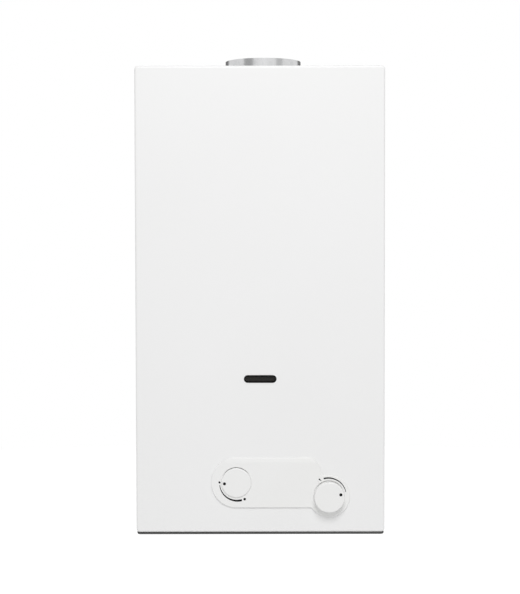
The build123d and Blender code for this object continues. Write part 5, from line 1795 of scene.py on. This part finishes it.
@dataclass
class Studio:
    """The camera, the light, the floor and the white surroundings.

    Attributes:
        camera_place: Where the camera stands.
        camera_pitch: How far it looks down, in degrees.
        camera_roll: How far it leans, in degrees.
        lens: Its focal length in millimetres.
        ambient: The brightness of the light from all round.
        key_place: Where the large soft lamp hangs.
        key_aim: What it points at.
        key_size: How wide it is.
        key_power: Its power in watts.
        floor_height: The floor's height under the hanging object.
        floor_radius: The floor's radius.
        floor_steps: How many steps go round the floor.
        floor_tone: How pale the floor is.
        floor_glow: How much it is lifted where it is seen, to look white.
        flag_distance: How far off the dark screens stand.
        flag_low: The height of their lower edge.
        flag_high: The height of their upper edge.
        flags: Each screen's two edges, in degrees from straight ahead, and its brightness.
    """

    camera_place: Point = (0.0, -2.25, 0.408)
    camera_pitch: float = 2.145
    camera_roll: float = 0.1
    lens: float = 87.82
    ambient: float = 0.55
    key_place: Point = (0.16, -2.75, 2.35)
    key_aim: Point = (0.0, -0.2, 0.4)
    key_size: float = 1.5
    key_power: float = 50.0
    floor_height: float = -0.75
    floor_radius: float = 6.0
    floor_steps: int = 64
    floor_tone: Colour = (0.9, 0.9, 0.9)
    floor_glow: float = 0.55
    flag_distance: float = 1.9
    flag_low: float = 0.2
    flag_high: float = 1.6
    flags: tuple[tuple[float, float, float], ...] = (
        (-57.0, -28.0, 0.5),
        (38.0, 57.0, 0.68),
        (128.0, 178.0, 0.22),
        (182.0, 232.0, 0.22),
    )

    def build(self) -> None:
        """Set up everything that isn't the object."""
        bpy.context.scene.view_settings.view_transform = "Standard"
        self._camera()
        self._world()
        self._lamp()
        self._floor()
        [self._flag(*flag) for flag in self.flags]

    def _camera(self) -> None:
        """Place the camera."""
        camera = put_in_scene("photo_camera", bpy.data.cameras.new("photo_camera"))
        camera.data.lens = self.lens
        camera.location = self.camera_place
        camera.rotation_euler = (math.radians(90.0 - self.camera_pitch), math.radians(self.camera_roll), 0.0)
        bpy.context.scene.camera = camera

    @staticmethod
    def _seen_directly(graph: Graph) -> NodeSocket:
        """Give a mask that is 1 for what is seen, mirrored or looked through to.

        Args:
            graph: The graph that gets the mask.

        Returns:
            The mask's socket.
        """
        path = graph.add("ShaderNodeLightPath").outputs
        mirrored = graph.calc("MAXIMUM", path["Is Camera Ray"], path["Is Glossy Ray"])
        return graph.calc("MAXIMUM", mirrored, path["Is Transmission Ray"])

    def _world(self) -> None:
        """Make even soft light from all round, which looks white."""
        world = bpy.data.worlds.new("white_room")
        graph = Graph.cleared(world)
        light, seen = (
            graph.add("ShaderNodeBackground", {"Color": WHITE, "Strength": strength}).outputs[0]
            for strength in (self.ambient, 1.0)
        )
        mixed = graph.add("ShaderNodeMixShader", {0: self._seen_directly(graph), 1: light, 2: seen})
        graph.add("ShaderNodeOutputWorld", {"Surface": mixed.outputs[0]})
        bpy.context.scene.world = world

    def _lamp(self) -> None:
        """Hang the large soft lamp above and in front."""
        lamp = bpy.data.lights.new("soft_key", "AREA")
        lamp.shape = "DISK"
        lamp.size = self.key_size
        lamp.energy = self.key_power
        key = put_in_scene("soft_key", lamp)
        key.location = self.key_place
        aim = Vector(self.key_aim) - Vector(self.key_place)
        key.rotation_euler = aim.to_track_quat("-Z", "Y").to_euler()

    def _floor(self) -> Object:
        """Make the pale floor, which looks white outside the object's shadow and is clear from below.

        Returns:
            The floor.
        """
        material = bpy.data.materials.new("pale_floor")
        graph = Graph.cleared(material)
        matt = graph.add("ShaderNodeBsdfDiffuse", {"Color": (*self.floor_tone, 1.0)}).outputs[0]
        lift = graph.times(self._seen_directly(graph), self.floor_glow)
        glow = graph.add("ShaderNodeEmission", {"Color": WHITE, "Strength": lift}).outputs[0]
        both = graph.add("ShaderNodeAddShader", {0: matt, 1: glow}).outputs[0]
        under = graph.add("ShaderNodeNewGeometry").outputs["Backfacing"]
        clear = graph.add("ShaderNodeBsdfTransparent").outputs[0]
        sided = graph.add("ShaderNodeMixShader", {0: under, 1: both, 2: clear}).outputs[0]
        graph.add("ShaderNodeOutputMaterial", {"Surface": sided})
        rim = [(x, y, self.floor_height) for x, y in circle(self.floor_radius, self.floor_steps)]
        return self._backdrop("floor", rim, material)

    def _flag(self, first: float, last: float, tone: float) -> Object:
        """Stand a dark screen round the object that only polished surfaces mirror.

        Args:
            first: The screen's first edge, in degrees from straight ahead.
            last: Its last edge.
            tone: How bright it is.

        Returns:
            The screen.
        """
        material = bpy.data.materials.new("dark_screen")
        graph = Graph.cleared(material)
        dark = graph.add("ShaderNodeEmission", {"Color": WHITE, "Strength": tone}).outputs[0]
        graph.add("ShaderNodeOutputMaterial", {"Surface": dark})
        left, right = (polar(angle - 90.0, self.flag_distance) for angle in (first, last))
        low, high = self.flag_low, self.flag_high
        outline = [(*left, low), (*left, high), (*right, high), (*right, low)]
        flag = self._backdrop("dark_screen", outline, material)
        flag.visible_camera = False
        flag.visible_diffuse = False
        flag.visible_transmission = False
        flag.visible_shadow = False
        return flag

    @staticmethod
    def _backdrop(name: str, outline: Sequence[Point], material: Material) -> Object:
        """Make one flat face that isn't part of the object.

        Args:
            name: The face's name.
            outline: Its corners.
            material: Its material.

        Returns:
            The face's object.
        """
        mesh = bpy.data.meshes.new(name)
        mesh.from_pydata(outline, [], [range(len(outline))])
        mesh.materials.append(material)
        return put_in_scene(name, mesh)


def corners(box: Sequence[Sequence[float]]) -> list[list[float]]:
    """Give a box's corners as plain lists of numbers."""
    return [[float(part) for part in corner] for corner in box]


def main() -> None:
    """Dress the CAD parts, add the fine pieces and set up the studio."""
    logging.basicConfig(level=logging.INFO, format="%(name)s: %(message)s")
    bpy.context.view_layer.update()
    palette = Palette()
    repeater = SeatRepeater()
    groups: list[SubAssembly] = [
        Casing(palette),
        ControlPanel(palette),
        Flue(palette, repeater),
        Fasteners(palette, repeater),
        HeatExchanger(palette),
        Burner(palette, repeater),
        Valves(palette, ThreadCutter()),
        Wiring(palette, repeater),
    ]
    for group in groups:
        group.dress()
        group.build()
    Studio().build()


if __name__ == "__main__":
    main()
